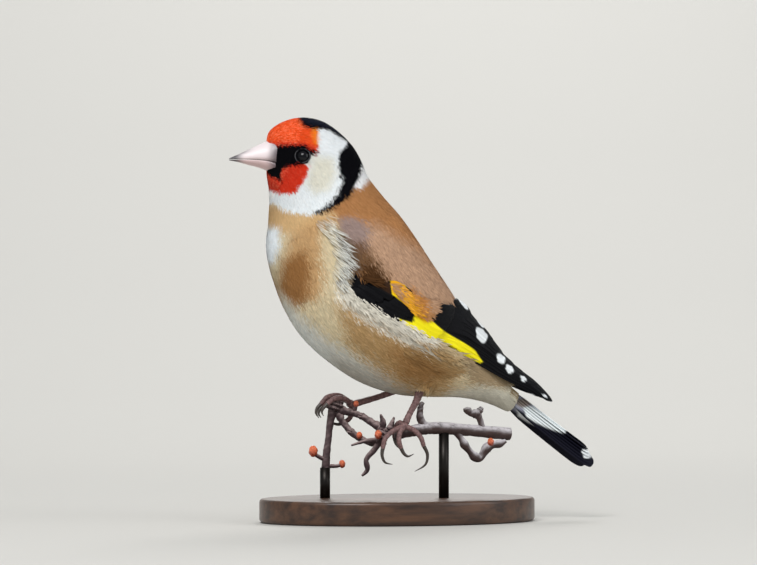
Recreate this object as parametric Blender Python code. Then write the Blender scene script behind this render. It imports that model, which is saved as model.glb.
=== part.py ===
"""A European goldfinch at life size, perched on a cut twig over a small display stand.

The bird faces minus X, its left side is minus Y and Z is up. Sizes below are in
millimetres and are turned into metres when the points are made.
"""
import math

import bmesh
import bpy
from mathutils import Matrix, Vector

MM = 0.001
GAP = 0.30

# Body: one closed form lofted through sections that fan from bill to tail.
# Each row holds the back edge (x, z), the belly edge (x, z) and the half width.
BODY = (
    (-36.4, 97.0, -36.2, 89.1, 1.5),
    (-35.7, 98.9, -36.2, 87.7, 2.3),
    (-34.3, 100.3, -36.0, 86.2, 3.1),
    (-32.0, 101.6, -35.7, 84.5, 4.3),
    (-28.9, 102.5, -35.6, 82.6, 6.1),
    (-25.3, 102.6, -35.5, 80.6, 7.7),
    (-21.5, 101.5, -35.7, 78.5, 8.7),
    (-17.7, 98.9, -35.8, 76.4, 9.4),
    (-14.3, 95.4, -36.0, 74.0, 9.9),
    (-12.2, 91.8, -36.4, 71.4, 10.9),
    (-10.5, 87.7, -36.3, 68.6, 12.4),
    (-6.9, 83.1, -35.6, 65.0, 14.4),
    (-2.2, 77.8, -33.9, 59.9, 16.4),
    (2.1, 71.9, -31.2, 53.6, 17.8),
    (6.1, 66.0, -26.8, 46.9, 18.2),
    (10.2, 60.2, -20.1, 40.8, 17.6),
    (14.6, 53.8, -11.4, 35.3, 15.6),
    (19.0, 47.7, -2.1, 32.3, 12.6),
    (22.9, 42.3, 6.6, 31.6, 9.6),
    (26.0, 38.5, 14.5, 31.4, 7.2),
    (28.5, 36.0, 21.6, 30.1, 5.4),
    (30.5, 34.2, 27.4, 27.8, 4.2),
)
BODY_ROUND = 2.15
BODY_SIDES = 24
HEAD_END = 8.0
NECK_END = 10.2
TORSO_END = 19.2
PART_STEP = 0.12

# The head is turned a little to the bird's right, away from its left shoulder.
HEAD_TURN = math.radians(10.0)
TURN_PIVOT_X = -21.0
TURN_FULL_TO = 7.0
TURN_NONE_FROM = 12.0

# Bill: x, top edge z, mouth line z, lower edge z, half width.
BILL = (
    (-33.4, 97.3, 90.9, 88.5, 3.95),
    (-35.0, 97.0, 91.3, 88.9, 3.8),
    (-36.4, 96.5, 91.6, 89.3, 3.4),
    (-38.4, 95.6, 91.8, 89.9, 2.8),
    (-40.8, 94.5, 91.9, 90.5, 2.05),
    (-43.3, 93.3, 91.9, 91.2, 1.2),
    (-44.9, 92.6, 91.9, 91.5, 0.6),
    (-45.8, 92.2, 91.95, 91.7, 0.25),
)
BILL_SLIT = 0.15
NOSTRIL_AT = (-36.6, 2.7, 94.7)
NOSTRIL_R = 0.45

EYE_U = 5.62
EYE_PHI = 1.385
EYE_R = 1.95
EYE_DEPTH = 1.75
LID_R = 1.78
LID_TUBE = 0.30

# Wing: rows run from the shoulder to the tip. Each row holds a place on the lower
# edge, one in the middle and one on the upper edge of the folded left wing.
WING = (
    ((-20.2, -16.8, 59.0), (-19.4, -17.1, 61.1), (-18.6, -17.2, 63.6)),
    ((-16.6, -17.5, 56.2), (-14.8, -18.0, 59.0), (-13.8, -17.9, 61.7)),
    ((-10.5, -18.0, 53.0), (-9.1, -18.2, 56.5), (-7.7, -17.8, 60.0)),
    ((-4.4, -17.5, 50.1), (-2.9, -17.5, 53.4), (-1.7, -17.0, 56.5)),
    ((1.3, -16.1, 47.1), (3.6, -15.6, 50.6), (6.5, -12.6, 55.4)),
    ((7.4, -14.0, 44.4), (10.4, -11.6, 50.0), (12.6, -4.4, 57.2)),
    ((13.7, -11.1, 41.8), (16.0, -9.0, 46.6), (17.8, -2.6, 52.2)),
    ((17.5, -9.4, 40.2), (19.8, -7.4, 43.8), (21.4, -2.1, 48.2)),
    ((22.6, -7.8, 37.8), (24.2, -6.0, 40.2), (25.8, -1.9, 42.8)),
    ((27.6, -6.4, 35.6), (28.7, -5.0, 37.3), (29.9, -1.9, 39.3)),
    ((33.4, -4.8, 33.2), (34.0, -3.9, 34.2), (34.6, -2.0, 35.6)),
    ((38.6, -3.4, 30.0), (38.8, -3.1, 30.2), (39.2, -2.4, 30.5)),
)
WING_IN = 0.9
WING_OUT = 0.25
VANE_THICK = 0.5
SLAB_ROWS = (0.0, 1.0, 2.0, 3.0, 3.7, 4.4, 5.2, 6.2, 7.4, 8.6)

# Feathers of one wing: count, first root, last root, first tip, last tip, where a
# place is (how far along the wing rows, how far up from the lower edge), then the
# half width in the middle of a vane and its lift over the wing at the tip.
PRIMARIES = (6, (3.4, 0.20), (3.9, 0.38), (10.9, 0.45), (8.4, 0.80), 1.9, 0.55)
SECONDARIES = (4, (3.7, 0.30), (4.1, 0.62), (7.9, 0.80), (6.9, 0.82), 1.9, 0.95)
TERTIALS = (3, (4.0, 0.60), (4.7, 0.80), (7.2, 0.88), (5.6, 0.91), 1.7, 1.30)
GREATER_COVERTS = (7, (2.0, 0.20), (3.3, 0.78), (4.1, 0.14), (4.5, 0.74), 1.35, 1.15)
MEDIAN_COVERTS = (5, (1.0, 0.22), (2.4, 0.78), (2.3, 0.20), (3.4, 0.76), 1.35, 1.00)
LESSER_COVERTS = (4, (0.35, 0.30), (1.4, 0.76), (1.3, 0.26), (2.4, 0.76), 1.2, 0.80)

# Tail: six vanes a side, folded into a low roof with the outer vanes lowest.
TAIL_PAIRS = 6
TAIL_ROOT = (22.8, 0.5, 37.2)
TAIL_ROOT_STEP = (0.0, 0.34, -0.42)
TAIL_TIP = (49.3, 0.8, 18.0)
TAIL_TIP_STEP = (0.17, 0.50, -0.80)
TAIL_HALF_WIDTH = 2.2
TAIL_ROLL_FIRST = math.radians(14.0)
TAIL_ROLL_STEP = math.radians(9.0)
TAIL_SAG = 0.9

# Legs. Each is a feathered thigh, a bare shank and a foot with four clawed toes.
THIGH_LEFT = ((5.0, -7.6, 39.5, 4.2), (2.4, -7.0, 34.0, 3.0), (0.9, -6.6, 30.9, 1.5))
THIGH_RIGHT = ((4.6, 7.6, 40.0, 4.2), (2.0, 7.0, 35.4, 3.0), (-0.6, 6.6, 33.2, 1.5))
SHANK_LEFT = ((0.76, -6.56, 30.5, 0.95), (-0.8, -6.6, 27.8, 0.80), (-2.1, -6.9, 25.3, 0.95))
SHANK_RIGHT = ((-1.0, 6.55, 32.95, 0.95), (-5.2, 6.3, 31.5, 0.80), (-12.2, 5.6, 29.7, 0.95))

LEFT_PALM = (-2.5, -7.2, 24.4)
LEFT_TOES = (
    ((-2.5, -7.2, 24.4), (-4.0, -8.2, 23.0), (-4.5, -8.7, 20.8), (-3.9, -8.6, 18.9)),
    ((-2.5, -7.2, 24.4), (-5.2, -8.0, 23.6), (-7.9, -8.4, 21.6), (-8.7, -8.3, 18.8)),
    ((-2.5, -7.2, 24.4), (-3.0, -4.8, 25.2), (-3.6, -2.7, 23.8), (-3.6, -2.3, 21.4)),
    ((-2.5, -7.2, 24.4), (-0.4, -8.2, 23.4), (1.3, -8.6, 21.6), (2.2, -8.4, 19.4)),
)
LEFT_CLAWS = (
    ((-3.9, -8.6, 18.9), (-3.1, -8.5, 17.5), (-1.9, -8.3, 16.8), (-0.3, -8.1, 17.4)),
    ((-8.7, -8.3, 18.8), (-8.8, -8.2, 17.0), (-7.9, -8.0, 15.3), (-5.9, -7.8, 14.8)),
    ((-3.6, -2.3, 21.4), (-3.3, -2.7, 19.9), (-2.7, -3.6, 18.9), (-2.2, -4.6, 18.8)),
    ((2.2, -8.4, 19.4), (3.3, -8.1, 17.2), (2.9, -7.6, 14.6), (0.2, -7.2, 12.9)),
)
RIGHT_PALM = (-12.9, 5.5, 29.9)
RIGHT_TOES = (
    ((-12.9, 5.5, 29.9), (-15.0, 3.6, 32.0), (-18.4, 2.4, 31.9), (-20.4, 2.1, 30.3)),
    ((-12.9, 5.5, 29.9), (-15.8, 5.0, 32.7), (-19.4, 4.7, 32.4), (-21.5, 4.5, 30.2)),
    ((-12.9, 5.5, 29.9), (-15.0, 6.8, 31.9), (-18.2, 7.3, 31.3), (-20.0, 7.2, 29.5)),
    ((-12.9, 5.5, 29.9), (-12.2, 5.9, 27.9), (-12.9, 6.4, 26.0), (-14.4, 6.8, 25.0)),
)
RIGHT_CLAWS = (
    ((-20.4, 2.1, 30.3), (-21.2, 2.0, 29.3), (-21.6, 2.0, 28.0), (-21.1, 2.1, 26.9)),
    ((-21.5, 4.5, 30.2), (-22.3, 4.4, 29.0), (-22.4, 4.3, 27.5), (-21.6, 4.3, 26.3)),
    ((-20.0, 7.2, 29.5), (-20.7, 7.1, 28.5), (-20.9, 6.9, 27.3), (-20.3, 6.7, 26.3)),
    ((-14.4, 6.8, 25.0), (-15.7, 6.9, 24.6), (-17.2, 6.9, 25.0), (-18.4, 6.8, 26.1)),
)
TOE_R = 0.78
CLAW_R = 0.52
TOE_SIDES = 6

# Perch: x, y, z and radius along each limb of the twig.
STEM = (
    (-17.9, 4.3, 28.0, 1.9),
    (-18.5, 4.4, 25.6, 1.15),
    (-19.2, 4.1, 21.0, 0.85),
    (-19.7, 3.9, 17.4, 0.95),
    (-20.1, 3.7, 13.6, 1.05),
)
STEM_BUDS = (
    ((-19.6, 3.9, 15.4), (-22.6, 3.6, 16.9), (-23.4, 3.5, 17.9), 1.25),
    ((-19.9, 3.8, 14.2), (-17.2, 3.4, 14.1), (-15.8, 3.2, 14.6), 0.9),
)
KNOT_AT = (-17.3, 4.6, 29.4)
KNOT_R = (2.7, 2.9, 2.0)
LIMB_UPPER = (
    (-16.4, 4.0, 28.4, 1.2),
    (-13.4, 2.6, 27.6, 0.9),
    (-11.4, 0.6, 26.8, 0.8),
    (-9.4, -2.0, 25.2, 0.95),
    (-7.6, -4.2, 23.8, 1.4),
)
LIMB_LOWER = (
    (-16.6, 4.2, 27.6, 1.2),
    (-15.6, 2.9, 25.2, 0.85),
    (-14.0, 1.6, 22.9, 0.85),
    (-11.6, -0.6, 20.9, 0.8),
    (-9.2, -2.6, 20.0, 0.9),
    (-7.4, -4.4, 21.0, 1.5),
)
CLUSTER_SPURS = (
    ((-7.6, -4.4, 23.4, 0.95), (-7.5, -4.9, 25.4, 0.75), (-8.2, -5.0, 27.4, 0.25)),
    ((-5.8, -4.7, 23.4, 0.9), (-4.9, -4.4, 25.2, 0.6), (-4.3, -4.1, 26.6, 0.25)),
    ((-8.0, -4.0, 20.6, 1.0), (-9.2, -3.6, 18.6, 0.75), (-11.4, -3.4, 16.0, 0.7),
     (-11.2, -3.4, 13.4, 0.65), (-12.6, -3.4, 11.8, 0.3)),
    ((-8.6, -3.6, 20.8, 0.9), (-12.0, -4.2, 20.6, 0.5), (-15.8, -4.6, 19.6, 0.25)),
)
CLUSTER_BUDS = (
    ((-8.4, -4.6, 22.0), (-9.0, -5.6, 22.2), (-9.2, -6.2, 22.3), 1.0),
    ((-12.6, 0.2, 21.6), (-12.6, -0.6, 21.9), (-12.6, -1.2, 22.0), 0.8),
    ((-13.0, 2.4, 27.6), (-12.6, 2.0, 29.0), (-12.5, 1.8, 29.9), 0.75),
)
BRANCH = (
    (-7.0, -4.6, 22.3, 1.8),
    (-4.4, -5.2, 22.4, 1.45),
    (-1.4, -5.5, 22.8, 1.35),
    (2.4, -5.4, 23.5, 1.55),
    (6.8, -5.0, 23.8, 1.55),
    (13.4, -4.5, 23.3, 1.5),
    (20.2, -4.0, 22.7, 1.55),
    (27.0, -3.5, 22.0, 1.6),
)
BRANCH_SPURS = (
    ((3.6, -5.2, 23.6, 1.25), (2.3, -5.2, 26.6, 0.95), (2.5, -5.2, 29.4, 0.7),
     (3.2, -5.2, 30.3, 0.4)),
    ((12.4, -4.6, 22.6, 1.1), (14.3, -5.3, 19.4, 1.15), (15.6, -5.4, 17.8, 0.85),
     (17.0, -5.2, 16.4, 1.25), (18.5, -5.0, 15.9, 0.9), (20.6, -4.8, 18.7, 1.2),
     (22.8, -4.6, 19.4, 0.9), (25.6, -4.4, 20.3, 0.6)),
    ((19.4, -4.2, 23.6, 0.9), (18.7, -4.0, 26.0, 0.8), (17.8, -3.9, 27.2, 1.1),
     (16.4, -3.9, 27.5, 0.8), (15.2, -3.8, 28.8, 0.7)),
)
BRANCH_BUDS = (
    ((20.6, -4.8, 18.9), (21.0, -5.4, 19.7), (21.1, -5.8, 20.1), 0.9),
)
PERCH_SIDES = 8

BASE_HALF = (36.0, 25.0)
BASE_X = -2.0
BASE_THICK = 6.0
BASE_SIDES = 30
ROD_R = 1.3
ROD_FRONT = (-20.2, 3.7, 12.9)
ROD_REAR = (8.8, -4.85, 21.7)
ROD_SIDES = 16

COLOURS = {
    "head": (0.56, 0.03, 0.01, 0.75),
    "neck": (0.72, 0.66, 0.55, 0.80),
    "torso": (0.36, 0.20, 0.09, 0.80),
    "wing": (0.02, 0.02, 0.02, 0.60),
    "tail": (0.03, 0.03, 0.03, 0.60),
    "bill": (0.75, 0.62, 0.56, 0.45),
    "eye": (0.01, 0.01, 0.01, 0.10),
    "leg": (0.30, 0.16, 0.14, 0.55),
    "perch": (0.14, 0.11, 0.10, 0.85),
    "base": (0.10, 0.06, 0.04, 0.50),
    "rod": (0.05, 0.05, 0.05, 0.40),
}


def clear_scene():
    for item in list(bpy.data.objects):
        bpy.data.objects.remove(item, do_unlink=True)


def material(kind):
    found = bpy.data.materials.get(kind)
    if found:
        return found
    made = bpy.data.materials.new(kind)
    made.use_nodes = True
    red, green, blue, rough = COLOURS[kind]
    shader = made.node_tree.nodes["Principled BSDF"]
    shader.inputs["Base Color"].default_value = (red, green, blue, 1.0)
    shader.inputs["Roughness"].default_value = rough
    shader.inputs["Metallic"].default_value = 0.0
    return made


def vec(place):
    return Vector((place[0] * MM, place[1] * MM, place[2] * MM))


def curve_at(rows, u):
    """Value of a smooth curve through the rows at a place between them."""
    last = len(rows) - 1
    low = int(min(max(math.floor(u), 0), last - 1))
    t = u - low
    before = rows[max(low - 1, 0)]
    here = rows[low]
    there = rows[low + 1]
    after = rows[min(low + 2, last)]
    found = []
    for a, b, c, d in zip(before, here, there, after):
        value = 2 * b + (c - a) * t
        value += (2 * a - 5 * b + 4 * c - d) * t * t
        value += (3 * b - a - 3 * c + d) * t * t * t
        found.append(value / 2)
    return found


def ease(low, high, value):
    t = min(max((value - low) / (high - low), 0.0), 1.0)
    return t * t * (3 - 2 * t)


def turned(point, u=0.0):
    """Turn a point of the head about the upright line through the neck."""
    angle = -HEAD_TURN * (1.0 - ease(TURN_FULL_TO, TURN_NONE_FROM, u))
    pivot = Vector((TURN_PIVOT_X * MM, 0.0, 0.0))
    return pivot + Matrix.Rotation(angle, 3, "Z") @ (point - pivot)


def skin_point(u, phi, lift=0.0):
    """A place on the body; phi runs from the back (0) by the left side to the belly."""
    bx, bz, vx, vz, wide = curve_at(BODY, u)
    middle = Vector(((bx + vx) / 2, 0.0, (bz + vz) / 2))
    half = Vector(((bx - vx) / 2, 0.0, (bz - vz) / 2))
    tall = half.length
    side = math.copysign(abs(math.sin(phi)) ** (2.0 / BODY_ROUND), math.sin(phi))
    spot = middle + half * ((tall + lift) / tall) * math.cos(phi)
    spot.y = -(wide + lift) * side
    return turned(spot * MM, u)


def skin_normal(u, phi):
    step = 0.01
    along = skin_point(u + step, phi) - skin_point(u - step, phi)
    around = skin_point(u, phi + step) - skin_point(u, phi - step)
    found = along.cross(around).normalized()
    bx, bz, vx, vz, _ = curve_at(BODY, u)
    middle = turned(Vector(((bx + vx) / 2, 0.0, (bz + vz) / 2)) * MM, u)
    return found if found.dot(skin_point(u, phi) - middle) > 0 else -found


def add_object(name, mesh_bm, kind):
    bmesh.ops.recalc_face_normals(mesh_bm, faces=mesh_bm.faces)
    mesh = bpy.data.meshes.new(name)
    mesh_bm.to_mesh(mesh)
    mesh_bm.free()
    mesh.materials.append(material(kind))
    made = bpy.data.objects.new(name, mesh)
    bpy.context.scene.collection.objects.link(made)
    return made


def loft(name, rings, kind, close_tip=False):
    """A closed body from rings of points, each end closed by a fan."""
    work = bmesh.new()
    rows = [[work.verts.new(point) for point in ring] for ring in rings]
    sides = len(rings[0])
    for here, there in zip(rows, rows[1:]):
        for k in range(sides):
            nxt = (k + 1) % sides
            work.faces.new((here[k], here[nxt], there[nxt], there[k]))
    for ring in (rows[0], rows[-1]):
        centre = sum((v.co for v in ring), Vector()) / sides
        hub = work.verts.new(centre)
        for k in range(sides):
            work.faces.new((ring[k], ring[(k + 1) % sides], hub))
    return add_object(name, work, kind)


def body_piece(name, u0, u1, count, kind):
    rings = []
    for i in range(count):
        u = u0 + (u1 - u0) * i / (count - 1)
        turn = 2 * math.pi / BODY_SIDES
        rings.append([skin_point(u, (k + 0.5) * turn) for k in range(BODY_SIDES)])
    return loft(name, rings, kind)


def tube(name, rows, kind, sides, grow=0.0, squash=1.0):
    """A round limb through places with a radius each, its ends closed."""
    points = [vec(row[:3]) for row in rows]
    radii = [(row[3] + grow) * MM for row in rows]
    if grow > 0.0:
        first = (points[0] - points[1]).normalized()
        last = (points[-1] - points[-2]).normalized()
        points[0] = points[0] + first * grow * MM
        points[-1] = points[-1] + last * grow * MM
    rings = []
    across = Vector((0.0, 1.0, 0.0))
    for i, point in enumerate(points):
        low = points[max(i - 1, 0)]
        high = points[min(i + 1, len(points) - 1)]
        along = (high - low).normalized()
        across = (across - along * across.dot(along)).normalized()
        up = along.cross(across)
        ring = []
        for k in range(sides):
            angle = 2 * math.pi * k / sides
            offset = across * math.cos(angle) + up * math.sin(angle) * squash
            ring.append(point + offset * radii[i])
        rings.append(ring)
    return loft(name, rings, kind)


def smooth_rows(rows, steps):
    """The rows again with places added between them on a smooth curve."""
    found = []
    for i in range(len(rows) - 1):
        for k in range(steps):
            found.append(tuple(curve_at(rows, i + k / steps)))
    found.append(tuple(rows[-1]))
    return found


def ball(name, centre, radii, kind, rings=10, sides=16, frame=None):
    work = bmesh.new()
    bmesh.ops.create_uvsphere(work, u_segments=sides, v_segments=rings, radius=1.0)
    scale = Matrix.Diagonal((radii[0] * MM, radii[1] * MM, radii[2] * MM, 1.0))
    place = frame if frame else Matrix.Identity(4)
    bmesh.ops.transform(work, matrix=Matrix.Translation(centre) @ place @ scale,
                        verts=work.verts)
    return add_object(name, work, kind)


def vane(name, points, normals, halves, kind, thick=VANE_THICK):
    """A thin feather: a plate with a raised middle, both faces meshed alike."""
    work = bmesh.new()
    rows = []
    for i, point in enumerate(points):
        low = points[max(i - 1, 0)]
        high = points[min(i + 1, len(points) - 1)]
        along = (high - low).normalized()
        normal = normals[i]
        side = along.cross(normal).normalized()
        up = side.cross(along).normalized()
        wide = halves[i] * MM
        ridge = up * min(0.16, halves[i] * 0.1) * MM
        down = up * thick * MM
        top = [point - side * wide, point + ridge, point + side * wide]
        low_face = [spot - down for spot in top]
        rows.append([work.verts.new(spot) for spot in top + low_face])
    for here, there in zip(rows, rows[1:]):
        for a, b in ((0, 1), (1, 2)):
            work.faces.new((here[a], here[b], there[b], there[a]))
            work.faces.new((here[b + 3], here[a + 3], there[a + 3], there[b + 3]))
        work.faces.new((here[3], here[0], there[0], there[3]))
        work.faces.new((here[2], here[5], there[5], there[2]))
    for end in (rows[0], rows[-1]):
        work.faces.new((end[0], end[1], end[4], end[3]))
        work.faces.new((end[1], end[2], end[5], end[4]))
    return add_object(name, work, kind)


def largest_surface(item):
    """Keep only the largest closed surface of a body."""
    work = bmesh.new()
    work.from_mesh(item.data)
    bmesh.ops.remove_doubles(work, verts=work.verts, dist=1e-7)
    left = set(work.faces)
    groups = []
    while left:
        queue = [left.pop()]
        group = list(queue)
        while queue:
            for edge in queue.pop().edges:
                if len(edge.link_faces) != 2:
                    continue
                for face in edge.link_faces:
                    if face in left:
                        left.remove(face)
                        group.append(face)
                        queue.append(face)
        groups.append(group)
    groups.sort(key=len)
    for group in groups[:-1]:
        bmesh.ops.delete(work, geom=group, context="FACES")
    bmesh.ops.dissolve_degenerate(work, edges=work.edges, dist=1e-7)
    bmesh.ops.triangulate(work, faces=work.faces)
    work.to_mesh(item.data)
    work.free()


def boolean(target, others, operation):
    """Join bodies to the target, or cut them from it, in one step."""
    if not others:
        return target
    group = bpy.data.collections.new("pieces")
    bpy.context.scene.collection.children.link(group)
    for other in others:
        for holder in list(other.users_collection):
            holder.objects.unlink(other)
        group.objects.link(other)
    change = target.modifiers.new("join", "BOOLEAN")
    change.operation = operation
    change.operand_type = "COLLECTION"
    change.collection = group
    change.solver = "EXACT"
    change.use_hole_tolerant = False
    bpy.context.view_layer.objects.active = target
    bpy.context.view_layer.update()
    depsgraph = bpy.context.evaluated_depsgraph_get()
    result = bpy.data.meshes.new_from_object(target.evaluated_get(depsgraph))
    target.modifiers.clear()
    target.data = result
    for other in others:
        bpy.data.objects.remove(other, do_unlink=True)
    bpy.data.collections.remove(group)
    largest_surface(target)
    return target


def make_head():
    head = body_piece("head", 0.0, HEAD_END, 15, "head")
    cutters = [bill_ring_loft("cut_bill", GAP, None)]
    lids = []
    for side in (1, -1):
        eye, axis, frame = eye_place(side)
        radius = EYE_R + GAP
        cutters.append(ball("cut_eye", eye, (radius, radius, radius), "eye", 9, 14))
    boolean(head, cutters, "DIFFERENCE")
    for side in (1, -1):
        lids.append(lid_ring(side))
    boolean(head, lids, "UNION")
    return head


def eye_place(side):
    """Centre of an eye, the way it looks, and its frame; side is 1 for the left."""
    phi = EYE_PHI * side
    axis = skin_normal(EYE_U, phi)
    centre = skin_point(EYE_U, phi) - axis * EYE_DEPTH * MM
    up = Vector((0.0, 0.0, 1.0))
    across = up.cross(axis).normalized()
    upright = axis.cross(across).normalized()
    frame = Matrix((across, upright, axis)).transposed().to_4x4()
    return centre, axis, frame


def lid_ring(side):
    centre, axis, frame = eye_place(side)
    reach = math.sqrt((EYE_R + GAP + LID_TUBE) ** 2 - LID_R ** 2)
    work = bmesh.new()
    rings = 18
    tube_sides = 5
    rows = []
    for k in range(rings):
        angle = 2 * math.pi * k / rings
        out = Vector((math.cos(angle) * 1.06, math.sin(angle), 0.0))
        hub = out * LID_R + Vector((0.0, 0.0, reach))
        row = []
        for j in range(tube_sides):
            turn = 2 * math.pi * (j + 0.5) / tube_sides
            spot = out * math.cos(turn) + Vector((0.0, 0.0, math.sin(turn)))
            row.append(hub + spot * LID_TUBE)
        rows.append([work.verts.new(spot * MM) for spot in row])
    for k in range(rings):
        here = rows[k]
        there = rows[(k + 1) % rings]
        for j in range(tube_sides):
            nxt = (j + 1) % tube_sides
            work.faces.new((here[j], here[nxt], there[nxt], there[j]))
    bmesh.ops.transform(work, matrix=Matrix.Translation(centre) @ frame,
                        verts=work.verts)
    return add_object("lid", work, "head")


def bill_ring_loft(name, grow, part):
    """The upper or the lower half of the bill, or the whole of it grown."""
    rings = []
    rows = BILL
    arc = 5 if part else 3
    for i, (x, top, mouth, low, wide) in enumerate(rows):
        ring = []
        if part == "upper":
            floor = mouth + BILL_SLIT
            for k in range(arc * 2 + 1):
                angle = math.pi * k / (arc * 2)
                height = (top - floor) * math.sin(angle) ** 0.85
                ring.append(turned(vec((x, -wide * math.cos(angle), floor + height))))
        elif part == "lower":
            floor = mouth - BILL_SLIT
            for k in range(arc * 2 + 1):
                angle = math.pi * k / (arc * 2)
                depth = (floor - low) * math.sin(angle) ** 0.85
                ring.append(turned(vec((x, -wide * 0.94 * math.cos(angle), floor - depth))))
        else:
            shift = 0.4 if i == 0 else 0.0
            for k in range(arc * 4):
                angle = 2 * math.pi * k / (arc * 4)
                tall = (top - mouth) if math.sin(angle) > 0 else (mouth - low)
                rise = math.copysign(abs(math.sin(angle)) ** 0.85, math.sin(angle))
                y = -(wide + grow) * math.cos(angle)
                z = mouth + (tall + grow) * rise
                ring.append(turned(vec((x + shift, y, z))))
        rings.append(ring)
    return loft(name, rings, "bill")


def make_bill():
    upper = bill_ring_loft("bill_upper", 0.0, "upper")
    pits = []
    for side in (1, -1):
        x, y, z = NOSTRIL_AT
        spot = turned(vec((x, -y * side, z)))
        pits.append(ball("pit", spot, (NOSTRIL_R * 1.4, NOSTRIL_R, NOSTRIL_R), "bill", 6, 10))
    boolean(upper, pits, "DIFFERENCE")
    bill_ring_loft("bill_lower", 0.0, "lower")


def wing_point(a, b, lift, side):
    """A place on the folded wing: a rows along it, b up across it, lifted outward."""
    def plain(p, q):
        low = curve_at([row[0] for row in WING], p)
        mid = curve_at([row[1] for row in WING], p)
        top = curve_at([row[2] for row in WING], p)
        weights = ((1 - q) * (1 - 2 * q), 4 * q * (1 - q), q * (2 * q - 1))
        return Vector([low[i] * weights[0] + mid[i] * weights[1] + top[i] * weights[2]
                       for i in range(3)])
    step = 0.02
    along = plain(min(a + step, 11.0), b) - plain(a - step, b)
    across = plain(a, b + step) - plain(a, b - step)
    normal = along.cross(across).normalized()
    if normal.y > 0:
        normal = -normal
    spot = plain(a, b) + normal * lift
    if side < 0:
        spot.y = -spot.y
        normal.y = -normal.y
    return spot * MM, normal


def wing_slab(name, stations, inner, outer, edge, side, kind="wing"):
    rings = []
    across = 5
    for a in stations:
        span = (wing_point(a, 1.0, 0, side)[0] - wing_point(a, 0.0, 0, side)[0]).length / MM
        pad = edge / max(span, 1.0)
        places = [-pad + (1 + 2 * pad) * k / (across - 1) for k in range(across)]
        ring = [wing_point(a, b, outer, side)[0] for b in places]
        ring += [wing_point(a, b, -inner, side)[0] for b in reversed(places)]
        rings.append(ring)
    return loft(name, rings, kind)


def wing_feathers(side, rows, stations=4, sink=0.35):
    """A tier of vanes from named sizes; their shapes vary a little in a fixed way."""
    count, root0, root1, tip0, tip1, half, lift = rows
    found = []
    for i in range(count):
        share = i / max(count - 1, 1)
        wobble = 0.5 * math.sin(2.1 * i + 0.7)
        root = [root0[k] + (root1[k] - root0[k]) * share for k in (0, 1)]
        tip = [tip0[k] + (tip1[k] - tip0[k]) * share for k in (0, 1)]
        tip[0] += 0.06 * wobble
        points = []
        normals = []
        halves = []
        for k in range(stations):
            t = k / (stations - 1)
            a = root[0] + (tip[0] - root[0]) * t
            b = root[1] + (tip[1] - root[1]) * t ** 1.3
            rise = -sink + (sink + lift) * min(1.0, t * 2.0) + 0.07 * share * i / count
            spot, normal = wing_point(a, b, rise, side)
            points.append(spot)
            normals.append(normal)
            shape = (0.75, 1.0, 0.92, 0.30) if stations == 4 else (0.85, 1.0, 0.4)
            halves.append(half * (1 + 0.05 * wobble) * shape[k])
        found.append(vane("vane", points, normals, halves, "wing"))
    return found


def make_wing(name, side):
    tiers = wing_feathers(side, LESSER_COVERTS, 3)
    tiers += wing_feathers(side, MEDIAN_COVERTS, 3)
    quills = wing_feathers(side, PRIMARIES)
    quills += wing_feathers(side, SECONDARIES)
    quills += wing_feathers(side, TERTIALS)
    quills += wing_feathers(side, GREATER_COVERTS, 3)
    slab = wing_slab(name, SLAB_ROWS, WING_IN, WING_OUT, 0.0, side)
    return boolean(slab, tiers + quills, "UNION")


def mirrored(item, name):
    """The same body again on the other side of the middle plane."""
    work = bmesh.new()
    work.from_mesh(item.data)
    bmesh.ops.transform(work, matrix=Matrix.Diagonal((1.0, -1.0, 1.0, 1.0)),
                        verts=work.verts)
    bmesh.ops.reverse_faces(work, faces=work.faces)
    return add_object(name, work, "wing")


def wing_cutters():
    found = []
    for side in (1, -1):
        rows = (-0.12,) + SLAB_ROWS[1:-1] + (8.7,)
        found.append(wing_slab("cut_wing", rows, WING_IN + GAP, 2.5, 0.9, side))
        rows = (8.2, 9.0, 9.8, 10.98)
        found.append(wing_slab("cut_tip", rows, GAP + 0.1, 2.5, 0.7, side))
    return found


def make_tail():
    tail = body_piece("tail", TORSO_END + PART_STEP, 20.9, 6, "tail")
    vanes = []
    for side in (1, -1):
        for k in range(TAIL_PAIRS):
            root = Vector([TAIL_ROOT[i] + TAIL_ROOT_STEP[i] * k for i in range(3)])
            tip = Vector([TAIL_TIP[i] + TAIL_TIP_STEP[i] * k for i in range(3)])
            roll = TAIL_ROLL_FIRST + TAIL_ROLL_STEP * k
            root.y *= -side
            tip.y *= -side
            along = (tip - root).normalized()
            up = Vector((0.0, 0.0, 1.0))
            up = (up - along * up.dot(along)).normalized()
            normal = Matrix.Rotation(roll * side, 3, -along) @ up
            if normal.y * side > 0:
                normal = Matrix.Rotation(-roll * side, 3, -along) @ up
            start = 0.13
            shape = ((0.0, 0.85), (0.3, 1.0), (0.65, 1.0), (0.9, 0.85), (1.0, 0.3))
            points = []
            halves = []
            for t, wide in shape:
                place = start + (1 - start) * t
                sag = TAIL_SAG * math.sin(math.pi * place)
                spot = root.lerp(tip, place) - Vector((0.0, 0.0, sag * 0.4))
                points.append(spot * MM)
                halves.append(TAIL_HALF_WIDTH * wide * (0.75 + 0.25 * t))
            vanes.append(vane("vane", points, [normal] * len(points), halves, "tail"))
    return boolean(tail, vanes, "UNION")


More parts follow.
